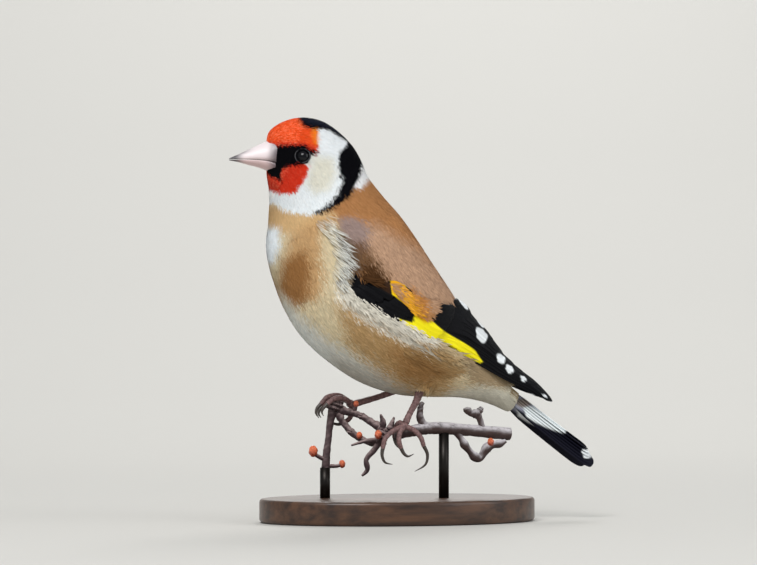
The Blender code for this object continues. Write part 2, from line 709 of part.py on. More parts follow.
def foot_rows(toes, claws, grow=0.0):
    found = []
    for toe, claw in zip(toes, claws):
        radii = (TOE_R * 1.05, TOE_R, TOE_R * 0.95, TOE_R * 0.85)
        rows = [tuple(place) + (radius,) for place, radius in zip(toe, radii)]
        found.append(smooth_rows(rows, 2))
        radii = (CLAW_R * 1.05, CLAW_R * 0.85, CLAW_R * 0.6, CLAW_R * 0.25)
        rows = [tuple(place) + (radius,) for place, radius in zip(claw, radii)]
        found.append(smooth_rows(rows, 2))
    return found


def make_foot(name, palm, toes, claws):
    foot = ball(name, vec(palm), (1.15, 1.1, 0.95), "leg", 8, 12)
    limbs = [tube("toe", rows, "leg", TOE_SIDES) for rows in foot_rows(toes, claws)]
    return boolean(foot, limbs, "UNION")


def foot_cutters():
    found = []
    for toes, claws, palm in ((LEFT_TOES, LEFT_CLAWS, LEFT_PALM),
                              (RIGHT_TOES, RIGHT_CLAWS, RIGHT_PALM)):
        for rows in foot_rows(toes, claws):
            found.append(tube("cut_toe", rows, "leg", TOE_SIDES, GAP + 0.05))
        found.append(ball("cut_palm", vec(palm), (1.5, 1.45, 1.3), "leg", 8, 12))
    return found


def shank_cutters():
    return [tube("cut_shank", rows, "leg", 10, GAP) for rows in (SHANK_LEFT, SHANK_RIGHT)]


def make_legs():
    for name, thigh, shank in (("left", THIGH_LEFT, SHANK_LEFT),
                               ("right", THIGH_RIGHT, SHANK_RIGHT)):
        upper = tube("leg_%s_thigh" % name, smooth_rows(thigh, 3), "torso", 14)
        lower = tube("leg_%s_shank" % name, smooth_rows(shank, 3), "leg", 10)
        boolean(upper, [tube("cut", shank, "leg", 10, GAP)], "DIFFERENCE")
        palm = LEFT_PALM if name == "left" else RIGHT_PALM
        cut = [ball("cut", vec(palm), (1.5, 1.45, 1.3), "leg", 8, 12)]
        toes = LEFT_TOES if name == "left" else RIGHT_TOES
        claws = LEFT_CLAWS if name == "left" else RIGHT_CLAWS
        for rows in foot_rows(toes, claws):
            cut.append(tube("cut", rows, "leg", TOE_SIDES, GAP))
        boolean(lower, cut, "DIFFERENCE")
    make_foot("leg_left_foot", LEFT_PALM, LEFT_TOES, LEFT_CLAWS)
    make_foot("leg_right_foot", RIGHT_PALM, RIGHT_TOES, RIGHT_CLAWS)


def bud_pieces(buds):
    found = []
    for start, end, bud, radius in buds:
        rows = (start + (0.6,), end + (0.5,), bud + (0.4,))
        found.append(tube("stalk", rows, "perch", 7))
        found.append(ball("bud", vec(bud), (radius, radius, radius), "perch", 6, 9))
    return found


def make_perch():
    stem = tube("perch_stem", smooth_rows(STEM[1:], 2), "perch", PERCH_SIDES)
    boolean(stem, bud_pieces(STEM_BUDS), "UNION")
    fork = ball("perch_fork", vec(KNOT_AT), KNOT_R, "perch", 8, 14)
    limbs = [tube("limb", smooth_rows(rows, 2), "perch", PERCH_SIDES)
             for rows in (LIMB_UPPER, LIMB_LOWER)]
    limbs += [tube("spur", rows, "perch", 6) for rows in CLUSTER_SPURS]
    limbs += [ball("cluster", vec((-7.5, -4.4, 22.2)), (2.0, 1.7, 2.2), "perch", 7, 10)]
    boolean(fork, limbs + bud_pieces(CLUSTER_BUDS), "UNION")
    trim = tube("cut_stem", smooth_rows(STEM[1:], 2), "perch", PERCH_SIDES, GAP)
    boolean(fork, [trim], "DIFFERENCE")
    branch = tube("perch_branch", smooth_rows(BRANCH[1:], 2), "perch", PERCH_SIDES)
    spurs = [tube("spur", rows, "perch", 6) for rows in BRANCH_SPURS]
    boolean(branch, spurs + bud_pieces(BRANCH_BUDS), "UNION")
    trim = tube("cut_branch", smooth_rows(BRANCH[1:], 2), "perch", PERCH_SIDES, GAP)
    boolean(fork, [trim], "DIFFERENCE")
    boolean(fork, foot_cutters(), "DIFFERENCE")
    boolean(branch, foot_cutters(), "DIFFERENCE")


def make_stand():
    rings = []
    profile = ((0.0, 0.0), (0.0, 0.6), (0.35, 1.0), (0.8, 1.0), (0.94, 0.7), (1.0, -0.4))
    for height, inset in profile:
        trim = 1.0 - inset if inset >= 0 else 1.4
        ring = []
        for k in range(BASE_SIDES):
            angle = 2 * math.pi * k / BASE_SIDES
            x = BASE_X + (BASE_HALF[0] - trim) * math.cos(angle)
            y = (BASE_HALF[1] - trim) * math.sin(angle)
            ring.append(vec((x, y, height * BASE_THICK)))
        rings.append(ring)
    loft("stand_base", rings[1:], "base")
    for name, (x, y, top) in (("stand_rod_front", ROD_FRONT), ("stand_rod_rear", ROD_REAR)):
        rows = ((x, y, BASE_THICK + GAP, ROD_R), (x, y, top, ROD_R))
        tube(name, rows, "rod", ROD_SIDES)


def centre_all():
    """Move everything so the origin is below the middle of the whole piece."""
    low = Vector((1e9, 1e9, 1e9))
    high = -low
    for item in bpy.data.objects:
        for vert in item.data.vertices:
            for i in range(3):
                low[i] = min(low[i], vert.co[i])
                high[i] = max(high[i], vert.co[i])
    shift = Vector((-(low.x + high.x) / 2, -(low.y + high.y) / 2, -low.z))
    for item in bpy.data.objects:
        item.data.transform(Matrix.Translation(shift))
    print("shift in mm", [round(value / MM, 3) for value in shift])
    print("size in mm", [round((high[i] - low[i]) / MM, 2) for i in range(3)])


def main():
    clear_scene()
    make_head()
    body_piece("neck", HEAD_END + PART_STEP, NECK_END, 5, "neck")
    torso = body_piece("torso", NECK_END + PART_STEP, TORSO_END, 20, "torso")
    thighs = [tube("cut_thigh", smooth_rows(rows, 3), "torso", 14, GAP)
              for rows in (THIGH_LEFT, THIGH_RIGHT)]
    boolean(torso, thighs + shank_cutters() + wing_cutters(), "DIFFERENCE")
    tail = make_tail()
    boolean(tail, wing_cutters(), "DIFFERENCE")
    make_bill()
    for name, side in (("eye_left", 1), ("eye_right", -1)):
        centre, axis, frame = eye_place(side)
        ball(name, centre, (EYE_R, EYE_R, EYE_R), "eye", 8, 14, frame)
    mirrored(make_wing("wing_left", 1), "wing_right")
    make_legs()
    make_perch()
    make_stand()
    centre_all()
    total = 0
    for item in sorted(bpy.data.objects, key=lambda found: found.name):
        count = sum(len(face.vertices) - 2 for face in item.data.polygons)
        total += count
        print(item.name, count)
    print("triangles", total)


main()
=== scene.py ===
"""Looks of a life-size European goldfinch perched on a cut twig over a display stand.

Lengths in the dataclasses are millimetres unless a name says otherwise. The bird faces
minus X, its left side is minus Y and Z is up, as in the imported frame.
"""
from __future__ import annotations

import logging
import math
from dataclasses import dataclass
from enum import Enum

import bmesh
import bpy
import numpy as np
from bmesh.types import BMEdge, BMesh, BMVert
from bpy.types import Material, Mesh, Node, NodeSocket, Object
from mathutils import Matrix, Vector

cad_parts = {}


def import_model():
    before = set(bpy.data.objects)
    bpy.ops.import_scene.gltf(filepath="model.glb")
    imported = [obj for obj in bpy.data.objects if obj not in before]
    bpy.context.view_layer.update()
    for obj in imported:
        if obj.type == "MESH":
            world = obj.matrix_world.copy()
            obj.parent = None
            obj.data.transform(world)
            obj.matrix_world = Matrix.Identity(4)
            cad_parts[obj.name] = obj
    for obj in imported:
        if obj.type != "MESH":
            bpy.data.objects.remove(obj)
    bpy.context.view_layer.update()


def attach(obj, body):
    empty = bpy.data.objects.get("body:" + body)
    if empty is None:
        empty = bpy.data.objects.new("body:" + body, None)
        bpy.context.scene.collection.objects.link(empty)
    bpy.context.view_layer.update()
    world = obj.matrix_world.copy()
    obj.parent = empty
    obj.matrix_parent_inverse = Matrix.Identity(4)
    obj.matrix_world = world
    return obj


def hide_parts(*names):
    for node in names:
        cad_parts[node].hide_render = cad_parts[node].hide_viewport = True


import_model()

logging.basicConfig(level=logging.INFO, format="%(levelname)s %(message)s")
LOG = logging.getLogger("goldfinch")

# Metres in a millimetre.
MM = 0.001
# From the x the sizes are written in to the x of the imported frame, in millimetres.
SHIFT_X = -2.515
# The x about which the head turns, in millimetres.
HEAD_PIVOT = -21.0
# How far the skin lies inside the coat, in millimetres.
COAT_DEPTH = 0.75
COLOUR_LAYER = "Plumage"
BAKE_UV = "OFBake"
VANE_UV = "Vane"
# The body's rows from bill to tail, by which its place on the unwrap is divided.
BODY_ROWS = 21.0
# How long one tuft or vane is on the unwrap.
UNWRAP_LENGTH = 0.003
# The solid nodes that each dressed shape stands for.
COVERED = {
    "body": ("head", "neck", "torso"),
    "wing": ("wing_left", "wing_right"),
    "thigh_left": ("leg_left_thigh",),
    "thigh_right": ("leg_right_thigh",),
}
Numbers = float | np.ndarray
Pair = tuple[np.ndarray, np.ndarray]


class Side(Enum):
    """Which side of the bird a piece is on."""

    LEFT = 1
    RIGHT = -1

    def node(self, stem: str) -> str:
        """A name with this side at its end, such as wing_left."""
        return "%s_%s" % (stem, self.name.lower())


class FeatherKind(Enum):
    """How a vane is marked."""

    PRIMARY = "primary"
    SECONDARY = "secondary"
    TERTIAL = "tertial"
    COVERT = "covert"
    TAIL = "tail"


@dataclass(frozen=True)
class Palette:
    """Colours read off, as sRGB hex words."""

    red_bright: str = "ee5320"
    red_deep: str = "cf331d"
    cheek_cream: str = "dbd8c8"
    red_chin: str = "981a0c"
    orange: str = "f08a24"
    black: str = "07070b"
    crown: str = "1a1e2e"
    white: str = "e9edef"
    cheek: str = "e3e8ea"
    collar: str = "cda876"
    tan: str = "bd9464"
    breast_brown: str = "93663a"
    breast_white: str = "e8eef1"
    cream: str = "d3c4a2"
    belly: str = "dcdfda"
    # Painted shade on the underside of the belly.
    low_belly: str = "b4b0a4"
    flank: str = "ab8757"
    flank_dark: str = "8f6538"
    flank_white: str = "e2ddd0"
    vent: str = "d4d0c0"
    rump: str = "957e60"
    back: str = "a8764a"
    back_grey: str = "b4937a"
    shoulder: str = "94807a"
    shoulder_low: str = "5f4228"
    glow: str = "bf7a26"
    shadow: str = "5e4e42"
    yellow: str = "fff01a"
    gold: str = "eca914"
    brown_dark: str = "3a220e"
    tail_grey: str = "b3b6c6"
    tail_white: str = "f1f6f7"
    tail_dark: str = "12121f"
    # Bill: pale ivory that is also the painted highlight on its top, and a base in painted
    # shadow.
    bill_ivory: str = "efe3e4"
    bill_pink: str = "c9a3a0"
    bill_dusk: str = "1e2028"
    bill_base: str = "3e2d38"
    # Bark with painted light: a lit top and a shaded underside for each end of the twig.
    bark_left_top: str = "a08b89"
    bark_left_low: str = "39262a"
    bark_right_top: str = "cbc6ca"
    bark_right_low: str = "42302d"
    # A bud's painted light: its lit orange top and its shaded red underside.
    bud_lit_orange: str = "e8764a"
    bud_dull: str = "8a3426"


def srgb(word: str) -> tuple[float, float, float, float]:
    """Turn an sRGB hex word into the linear colour that nodes use.

    Args:
        word: six hex digits.

    Returns:
        Linear red, green, blue and an alpha of one.
    """
    parts = []
    for start in (0, 2, 4):
        value = int(word[start:start + 2], 16) / 255.0
        parts.append(value / 12.92 if value <= 0.04045 else ((value + 0.055) / 1.055) ** 2.4)
    return (parts[0], parts[1], parts[2], 1.0)


def linear(word: str) -> np.ndarray:
    """The linear red, green and blue of an sRGB hex word."""
    return np.array(srgb(word)[:3])


def opaque(tint: np.ndarray) -> tuple[float, float, float, float]:
    """A linear colour with an alpha of one, as the colour layer takes it."""
    return (tint[0], tint[1], tint[2], 1.0)


def layered(ground: str, shape: tuple, layers: list) -> np.ndarray:
    """Lay soft-edged colours over a ground colour.

    Args:
        ground: hex word of the lowest colour.
        shape: shape of the array of places.
        layers: pairs of a share from 0 to 1 at each place and a hex word, lowest first.

    Returns:
        Linear colours at the places.
    """
    found = np.broadcast_to(linear(ground), shape + (3,)).copy()
    for share, word in layers:
        share = share[..., None]
        found = found * (1 - share) + linear(word) * share
    return found


def between(pair: tuple[float, float], share: Numbers) -> Numbers:
    """The value that lies a share of the way from the first of a pair to the second."""
    return pair[0] + (pair[1] - pair[0]) * share


def ease(low: float, high: float, value: Numbers) -> Numbers:
    """Smooth step from 0 at low to 1 at high, for numbers or arrays."""
    t = np.clip((np.asarray(value, dtype=float) - low) / (high - low), 0.0, 1.0)
    return t * t * (3.0 - 2.0 * t)


def spline(rows: np.ndarray, u: Numbers) -> np.ndarray:
    """Smooth curve through rows of numbers.

    Args:
        rows: one row of values at each whole number.
        u: places along the rows.

    Returns:
        Values at those places, one row each.
    """
    u = np.atleast_1d(np.asarray(u, dtype=float))
    last = len(rows) - 1
    low = np.clip(np.floor(u), 0, last - 1).astype(int)
    t = (u - low)[:, None]
    a = rows[np.maximum(low - 1, 0)]
    b = rows[low]
    c = rows[low + 1]
    d = rows[np.minimum(low + 2, last)]
    found = 2 * b + (c - a) * t
    found = found + (2 * a - 5 * b + 4 * c - d) * t ** 2
    found = found + (3 * b - a - 3 * c + d) * t ** 3
    return found / 2.0


def unit(vectors: np.ndarray) -> np.ndarray:
    """Vectors of length one."""
    size = np.linalg.norm(vectors, axis=-1, keepdims=True)
    return vectors / np.maximum(size, 1e-12)


@dataclass(frozen=True)
class SideView:
    """The level view the markings were read in: steps across and down a side view."""

    step: float = 0.255
    across_zero: float = 405.0
    down_zero: float = 521.0
    turn: float = math.radians(18.0)

    def places(self, plain: np.ndarray, turn: Numbers = 0.0, pivot: float = HEAD_PIVOT) -> Pair:
        """Find places in the side view, both sides of the bird read as the left one.

        Args:
            plain: places in millimetres in the model.
            turn: how far the head's turn reaches at each of them.
            pivot: the x about which the head turns.

        Returns:
            Steps across and steps down.
        """
        y = -np.abs(plain[..., 1])
        angle = self.turn - turn
        start = pivot * math.cos(self.turn)
        xi = start + (plain[..., 0] - pivot) * np.cos(angle) - y * np.sin(angle)
        return xi / self.step + self.across_zero, self.down_zero - plain[..., 2] / self.step


@dataclass(frozen=True)
class BodySizes:
    """Rows from bill to tail: back edge x, z, belly edge x, z and half width."""

    rows: tuple = (
        (-36.4, 97.0, -36.2, 89.1, 1.5),
        (-35.7, 98.9, -36.2, 87.7, 2.3),
        (-34.3, 100.3, -36.0, 86.2, 3.1),
        (-32.0, 101.6, -35.7, 84.5, 4.3),
        (-28.9, 102.5, -35.6, 82.6, 6.1),
        (-25.3, 102.6, -35.5, 80.6, 7.7),
        (-21.5, 101.5, -35.7, 78.5, 8.7),
        (-17.7, 98.9, -35.8, 76.4, 9.4),
        (-14.3, 95.4, -36.0, 74.0, 9.9),
        (-12.2, 91.8, -36.4, 71.4, 10.9),
        (-10.5, 87.7, -36.3, 68.6, 12.4),
        (-6.9, 83.1, -35.6, 65.0, 14.4),
        (-2.2, 77.8, -33.9, 59.9, 16.4),
        (2.1, 71.9, -31.2, 53.6, 17.8),
        (6.1, 66.0, -26.8, 46.9, 18.2),
        (10.2, 60.2, -20.1, 40.8, 17.6),
        (14.6, 53.8, -11.4, 35.3, 15.6),
        (19.0, 47.7, -2.1, 32.3, 12.6),
        (22.9, 42.3, 6.6, 31.6, 9.6),
        (26.0, 38.5, 14.5, 31.4, 7.2),
        (28.5, 36.0, 21.6, 30.1, 5.4),
        (30.5, 34.2, 27.4, 27.8, 4.2),
    )
    roundness: float = 2.15
    head_turn: float = math.radians(10.0)
    pivot_x: float = HEAD_PIVOT
    turn_full_to: float = 7.0
    turn_none_from: float = 12.0


class Surface:
    """A shape that feathers grow on: u runs with their lie and phi goes round it."""

    view: SideView
    NORMAL_STEP = 0.01
    STRETCH_STEP = 0.02
    # Least millimetres to a step, so that tufts do not run away at the ends.
    LEAST_U = 0.6
    LEAST_PHI = 0.4

    def place(self, u: Numbers, phi: Numbers, lift: Numbers = 0.0) -> np.ndarray:
        """Find places on the shape.

        Args:
            u: how far along the lie.
            phi: how far round, positive on the left.
            lift: millimetres above the shape.

        Returns:
            Places in millimetres in the model.
        """
        raise NotImplementedError

    def seen(self, u: Numbers, phi: Numbers, lift: Numbers = 0.0) -> Pair:
        """Side-view steps of places on the shape."""
        return self.view.places(self.place(u, phi, lift))

    def _slopes(self, u: np.ndarray, phi: np.ndarray, step: float) -> Pair:
        """How far the shape runs along and around over twice a small step."""
        along = self.place(u + step, phi) - self.place(u - step, phi)
        around = self.place(u, phi + step) - self.place(u, phi - step)
        return along, around

    def normal(self, u: np.ndarray, phi: np.ndarray) -> np.ndarray:
        """Outward directions of the shape."""
        along, around = self._slopes(u, phi, self.NORMAL_STEP)
        return -unit(np.cross(along, around))

    def stretch(self, u: np.ndarray, phi: np.ndarray) -> Pair:
        """Millimetres for one step of u and for one radian of phi."""
        step = self.STRETCH_STEP
        along, around = self._slopes(u, phi, step)
        size_u = np.linalg.norm(along, axis=-1) / (2 * step)
        size_f = np.linalg.norm(around, axis=-1) / (2 * step)
        return np.maximum(size_u, self.LEAST_U), np.maximum(size_f, self.LEAST_PHI)


class BodyForm(Surface):
    """The bird's body as a surface: u runs bill to tail, phi from back to belly."""

    def __init__(self, sizes: BodySizes, view: SideView) -> None:
        """Keep the sizes and the view the markings are read in."""
        self.sizes = sizes
        self.view = view
        self.rows = np.array(sizes.rows)

    def head_angle(self, u: Numbers) -> Numbers:
        """How far the head's turn reaches at u."""
        sizes = self.sizes
        fall = ease(sizes.turn_full_to, sizes.turn_none_from, u)
        return sizes.head_turn * (1.0 - fall)

    def plain(self, u: Numbers, phi: Numbers, lift: Numbers = 0.0) -> np.ndarray:
        """Places in millimetres before the head is turned."""
        u, phi, lift = np.broadcast_arrays(u, phi, lift)
        row = spline(self.rows, u.ravel())
        shape = u.shape
        phi = phi.ravel()
        lift = lift.ravel()
        middle = np.stack([(row[:, 0] + row[:, 2]) / 2, (row[:, 1] + row[:, 3]) / 2], 1)
        half = np.stack([(row[:, 0] - row[:, 2]) / 2, (row[:, 1] - row[:, 3]) / 2], 1)
        tall = np.maximum(np.linalg.norm(half, axis=1), 0.01)
        side = np.sign(np.sin(phi)) * np.abs(np.sin(phi)) ** (2.0 / self.sizes.roundness)
        spot = middle + half * ((tall + lift) / tall * np.cos(phi))[:, None]
        y = -(row[:, 4] + lift) * side
        return np.stack([spot[:, 0], y, spot[:, 1]], 1).reshape(shape + (3,))

    def turned(self, points: np.ndarray, u: Numbers) -> np.ndarray:
        """Turn places by the head's turn at u, still in millimetres."""
        angle = -self.head_angle(u)
        x = points[..., 0] - self.sizes.pivot_x
        y = points[..., 1]
        found = points.copy()
        found[..., 0] = self.sizes.pivot_x + x * np.cos(angle) - y * np.sin(angle)
        found[..., 1] = x * np.sin(angle) + y * np.cos(angle)
        return found

    def place(self, u: Numbers, phi: Numbers, lift: Numbers = 0.0) -> np.ndarray:
        """Places in millimetres in the model, head turned."""
        u = np.asarray(u, dtype=float)
        points = self.plain(u, phi, lift)
        return self.turned(points, np.broadcast_to(u, points.shape[:-1]))

    def seen(self, u: Numbers, phi: Numbers, lift: Numbers = 0.0) -> Pair:
        """Side-view steps of places on the body, read before the head is turned."""
        points = self.plain(u, phi, lift)
        turn = np.broadcast_to(self.head_angle(u), points.shape[:-1])
        return self.view.places(points, turn, self.sizes.pivot_x)


def world(points: np.ndarray) -> np.ndarray:
    """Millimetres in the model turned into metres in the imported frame."""
    found = np.array(points, dtype=float) * MM
    found[..., 0] += SHIFT_X * MM
    return found


class Outline:
    """A closed outline in side-view steps with a soft edge."""

    def __init__(self, points: tuple, soft: float) -> None:
        """Keep the corners, given one by one, and half the width of the soft edge."""
        self.points = np.array(points, dtype=float).reshape(-1, 2)
        self.soft = soft

    def share(self, x: np.ndarray, y: np.ndarray) -> np.ndarray:
        """Tell how far places lie inside.

        Args:
            x: steps across.
            y: steps down.

        Returns:
            A number from 0 outside to 1 inside for each place.
        """
        near = np.full(x.shape, 1e9)
        inside = np.zeros(x.shape, dtype=bool)
        count = len(self.points)
        for i in range(count):
            ax, ay = self.points[i]
            bx, by = self.points[(i + 1) % count]
            dx, dy = bx - ax, by - ay
            t = np.clip(((x - ax) * dx + (y - ay) * dy) / max(dx * dx + dy * dy, 1e-9), 0, 1)
            near = np.minimum(near, np.hypot(x - ax - t * dx, y - ay - t * dy))
            if ay != by:
                cross = (ay > y) != (by > y)
                inside ^= cross & (x < dx * (y - ay) / dy + ax)
        signed = np.where(inside, near, -near)
        return ease(-self.soft, self.soft, signed)


class Markings:
    """Where each plumage colour lies on the body, for the skin and the coat."""

    # Colour, how fully it covers, half its soft edge, and its corners one by one as
    # steps across and down. Later zones lie over earlier ones.
    ZONES = (
        ("back_grey", 0.85, 10.0, (
            345, 226, 376, 226, 420, 250, 470, 300, 470, 330, 415, 305, 388, 285, 352, 262,
            342, 244)),
        ("shoulder", 0.95, 3.0, (
            337, 220, 346, 218, 358, 220, 367, 226, 371, 236, 368, 250, 360, 258, 350, 250,
            343, 236)),
        ("shoulder_low", 0.9, 7.0, (
            350, 244, 366, 244, 378, 262, 390, 280, 394, 298, 380, 296, 364, 282, 352, 264)),
        ("brown_dark", 0.8, 4.0, (
            358, 266, 374, 266, 390, 284, 394, 300, 376, 292)),
        ("glow", 0.7, 4.0, (
            405, 292, 413, 288, 422, 299, 427, 316, 417, 315, 409, 304)),
        ("gold", 0.75, 1.4, (
            397, 287, 402, 287, 409, 297, 415, 307, 426, 317, 418, 316, 407, 304)),
        ("cream", 1.0, 2.0, (
            250, 198, 300, 212, 334, 216, 343, 236, 352, 258, 352, 290, 400, 322, 482, 363,
            520, 384, 530, 430, 250, 430)),
        ("collar", 0.9, 6.0, (
            250, 203, 300, 214, 336, 214, 338, 226, 300, 236, 250, 232)),
        ("tan", 0.9, 8.0, (
            292, 236, 318, 222, 334, 226, 332, 262, 320, 300, 296, 306, 282, 290, 286, 262)),
        ("breast_brown", 0.95, 7.0, (
            284, 262, 306, 252, 312, 268, 308, 302, 294, 308, 280, 290)),
        ("breast_white", 1.0, 5.0, (
            250, 226, 280, 230, 282, 248, 276, 264, 266, 270, 250, 268)),
        ("cream", 0.9, 6.0, (
            322, 232, 338, 230, 346, 244, 354, 262, 352, 292, 332, 296, 322, 262)),
        ("shadow", 0.85, 3.0, (
            338, 230, 350, 242, 360, 262, 360, 278, 352, 300, 343, 292, 348, 266)),
        ("belly", 1.0, 9.0, (
            250, 284, 276, 292, 296, 312, 324, 338, 350, 354, 390, 376, 400, 410, 280, 410)),
        # Painted shade: the underside of the belly, turned from the light, is painted darker
        # grey.
        ("low_belly", 0.75, 7.0, (
            330, 352, 366, 366, 395, 380, 420, 388, 420, 412, 350, 402)),
        ("flank", 0.9, 9.0, (
            336, 302, 360, 312, 402, 336, 440, 352, 462, 366, 448, 392, 424, 396, 386, 376,
            350, 346)),
        ("flank_dark", 0.75, 8.0, (
            386, 346, 416, 352, 440, 368, 432, 388, 402, 376)),
        ("flank_white", 0.95, 4.0, (
            336, 284, 353, 291, 376, 308, 404, 322, 432, 337, 444, 347, 432, 352, 404, 342,
            362, 320, 338, 302)),
        ("rump", 0.85, 5.0, (
            456, 352, 482, 362, 520, 382, 508, 392, 470, 384)),
        ("vent", 1.0, 5.0, (
            448, 392, 480, 386, 520, 392, 530, 420, 448, 406)),
        ("cheek", 1.0, 1.6, (
            258, 186, 280, 190, 300, 188, 306, 160, 316, 128, 344, 128, 356, 150, 350, 190,
            338, 204, 324, 213, 312, 217, 296, 216, 283, 212, 276, 206, 258, 204)),
        ("white", 1.0, 3.0, (
            318, 132, 330, 130, 348, 143, 342, 155, 322, 155)),
        ("cheek_cream", 0.9, 6.0, (
            316, 158, 334, 160, 337, 176, 330, 192, 316, 196, 308, 186, 312, 170)),
        ("white", 0.9, 1.6, (
            356, 154, 368, 160, 372, 180, 360, 192, 352, 190, 358, 176)),
        ("black", 1.0, 1.0, (
            292, 108, 330, 108, 362, 138, 365, 160, 361, 176, 356, 188, 351, 197, 339, 208,
            327, 214, 312, 217, 324, 210, 332, 205, 337.5, 198, 342, 190, 344.5, 183, 341, 177,
            340, 168, 339.5, 160, 339.5, 155, 344, 151, 347, 147, 348, 143, 341, 139, 336, 135.5,
            331, 132, 325, 130.5, 318, 132.5, 310, 129, 303, 128, 298, 124)),
        ("crown", 0.8, 2.5, (
            298, 108, 330, 110, 352, 134, 346, 139, 330, 129, 312, 126, 302, 122)),
        ("red_deep", 1.0, 0.9, (
            254, 146, 262, 134, 276, 118, 292, 112, 298, 124, 303, 128, 310, 129, 316, 132,
            320, 131.5, 318, 138, 318.5, 145, 320, 152, 318, 156, 312, 160, 312.5, 166, 310, 171,
            308, 178, 305, 184, 301, 190, 297, 194.5, 290, 196.5, 281, 196, 275, 193, 268, 190,
            256, 184)),
        ("red_bright", 0.9, 2.2, (
            254, 140, 276, 116, 296, 112, 304, 128, 318, 133, 318, 150, 306, 144, 288, 143,
            270, 143)),
        ("red_chin", 0.6, 2.5, (
            254, 174, 278, 184, 282, 194, 270, 192, 254, 184)),
        ("orange", 0.8, 1.6, (
            313, 131, 320, 130, 320, 147, 316, 148, 314, 138)),
        ("black", 1.0, 0.7, (
            254, 147.5, 273, 147.5, 290, 146.5, 305, 147, 312, 149.5, 320, 155, 313, 158.5,
            312, 166, 306, 167, 290, 168, 283.5, 171, 281.5, 177, 285, 188, 282, 184, 278, 181,
            270, 177, 262, 172.5, 254, 169)),
    )

    def __init__(self, palette: Palette) -> None:
        """Lay out the zones, from the lowest to the one on top."""
        self.palette = palette
        self.layers = [(Outline(corners, soft), getattr(palette, name), weight)
                       for name, weight, soft, corners in self.ZONES]

    def colour(self, x: np.ndarray, y: np.ndarray) -> np.ndarray:
        """Linear colours at side-view steps across and down."""
        layers = [(outline.share(x, y) * weight, word)
                  for outline, word, weight in self.layers]
        return layered(self.palette.back, x.shape, layers)


@dataclass(frozen=True)
class Spot:
    """A pale spot on a feather's end, in side-view steps."""

    x: float
    y: float
    along: float
    across: float
    slope: float = 42.0


class WingMarkings:
    """The black, yellow and white of the wings and tail."""

    # How much wider a spot is at its outer end, and how wavy its edge is.
    SPOT_TAPER = 0.34
    SPOT_WAVE = 0.07
    SPOT_WAVES = 5.0

    def __init__(self, palette: Palette) -> None:
        """Lay out the zones and spots."""
        self.palette = palette
        self.yellow = Outline((
            390, 279, 402, 280, 411, 299, 416, 309, 424, 315.5, 431, 320, 437, 325.5, 443, 330.5,
            451, 335.5, 460, 340.5, 468, 345.5, 475, 350.5, 477, 354, 482.5, 361.5, 480, 363,
            470, 358.5, 460, 353.5, 450, 349.5, 440, 344, 430, 338, 418, 332, 407, 326, 398, 318,
            406, 320.5, 411, 322, 413.5, 320, 414, 314, 409, 307.5, 401, 301, 392, 294.5), 0.6)
        self.gold = Outline((
            388, 276, 402, 278, 413, 298, 416, 310, 430, 318, 424, 322, 414, 314, 400, 300,
            390, 292), 3.0)
        self.brown = Outline((
            350, 250, 372, 264, 391, 281, 390, 294, 378, 287, 368, 280, 359, 270), 1.0)
        self.spots = (
            Spot(462.5, 303.0, 8.2, 1.7, 50.0),
            Spot(480.5, 323.5, 5.5, 1.3, 47.0),
            Spot(481.0, 334.5, 8.6, 5.0, 62.0),
            Spot(500.7, 358.5, 5.8, 3.9, 55.0),
            Spot(509.5, 369.0, 5.0, 3.5, 52.0),
            Spot(523.5, 379.0, 3.4, 2.6, 50.0),
            Spot(545.5, 396.5, 2.4, 1.3, 30.0),
            Spot(554.5, 404.5, 3.0, 1.6, 40.0),
        )
        self.tail_white = Outline((
            524, 408, 534, 406.5, 544, 413, 546.5, 408, 556, 415, 564, 421, 571, 429, 566, 435,
            556, 432, 546, 428, 536, 423, 527, 417), 1.2)
        self.tail_grey = Outline((
            498, 384, 512, 384, 524, 394, 532, 402, 542, 411, 536, 418, 524, 412, 512, 405,
            500, 394), 2.5)
        self.tail_buff = Outline((
            516, 400, 527, 399, 533, 405, 525, 409, 517, 406), 2.0)
        self.tail_tips = (
            Spot(588.5, 455.0, 5.6, 4.6, 45.0),
            Spot(597.0, 469.0, 3.0, 1.6, 40.0),
        )

    def _spots(self, x: np.ndarray, y: np.ndarray, spots: tuple) -> np.ndarray:
        """How far each place lies inside any of the spots, from 0 to 1."""
        share = np.zeros(x.shape)
        for spot in spots:
            slope = math.radians(spot.slope)
            along = (x - spot.x) * math.cos(slope) + (y - spot.y) * math.sin(slope)
            across = -(x - spot.x) * math.sin(slope) + (y - spot.y) * math.cos(slope)
            taper = 1.0 + self.SPOT_TAPER * np.clip(along / spot.along, -1.0, 1.0)
            reach = np.hypot(along / spot.along, across / (spot.across * taper))
            around = np.arctan2(across, along)
            reach = reach * (1.0 + self.SPOT_WAVE * np.sin(self.SPOT_WAVES * around + spot.x))
            share = np.maximum(share, 1.0 - ease(0.88, 1.06, reach))
        return share

    def colour(self, kind: FeatherKind, x: np.ndarray, y: np.ndarray) -> np.ndarray:
        """Colour a vane.

        Args:
            kind: how the vane is marked.
            x: steps across the side view.
            y: steps down.

        Returns:
            Linear colours.
        """
        p = self.palette
        layers = []
        if kind is FeatherKind.TAIL:
            ground = p.tail_dark
            layers.append((self.tail_grey.share(x, y), p.tail_grey))
            layers.append((self.tail_buff.share(x, y) * 0.7, p.rump))
            layers.append((self.tail_white.share(x, y), p.tail_white))
            layers.append((self._spots(x, y, self.tail_tips), p.white))
        else:
            ground = p.black
            layers.append((self.brown.share(x, y) * 0.7, p.brown_dark))
            layers.append((self.yellow.share(x, y), p.yellow))
            layers.append((self.gold.share(x, y) * self.yellow.share(x, y), p.gold))
            layers.append((self._spots(x, y, self.spots), p.white))
        return layered(ground, x.shape, layers)


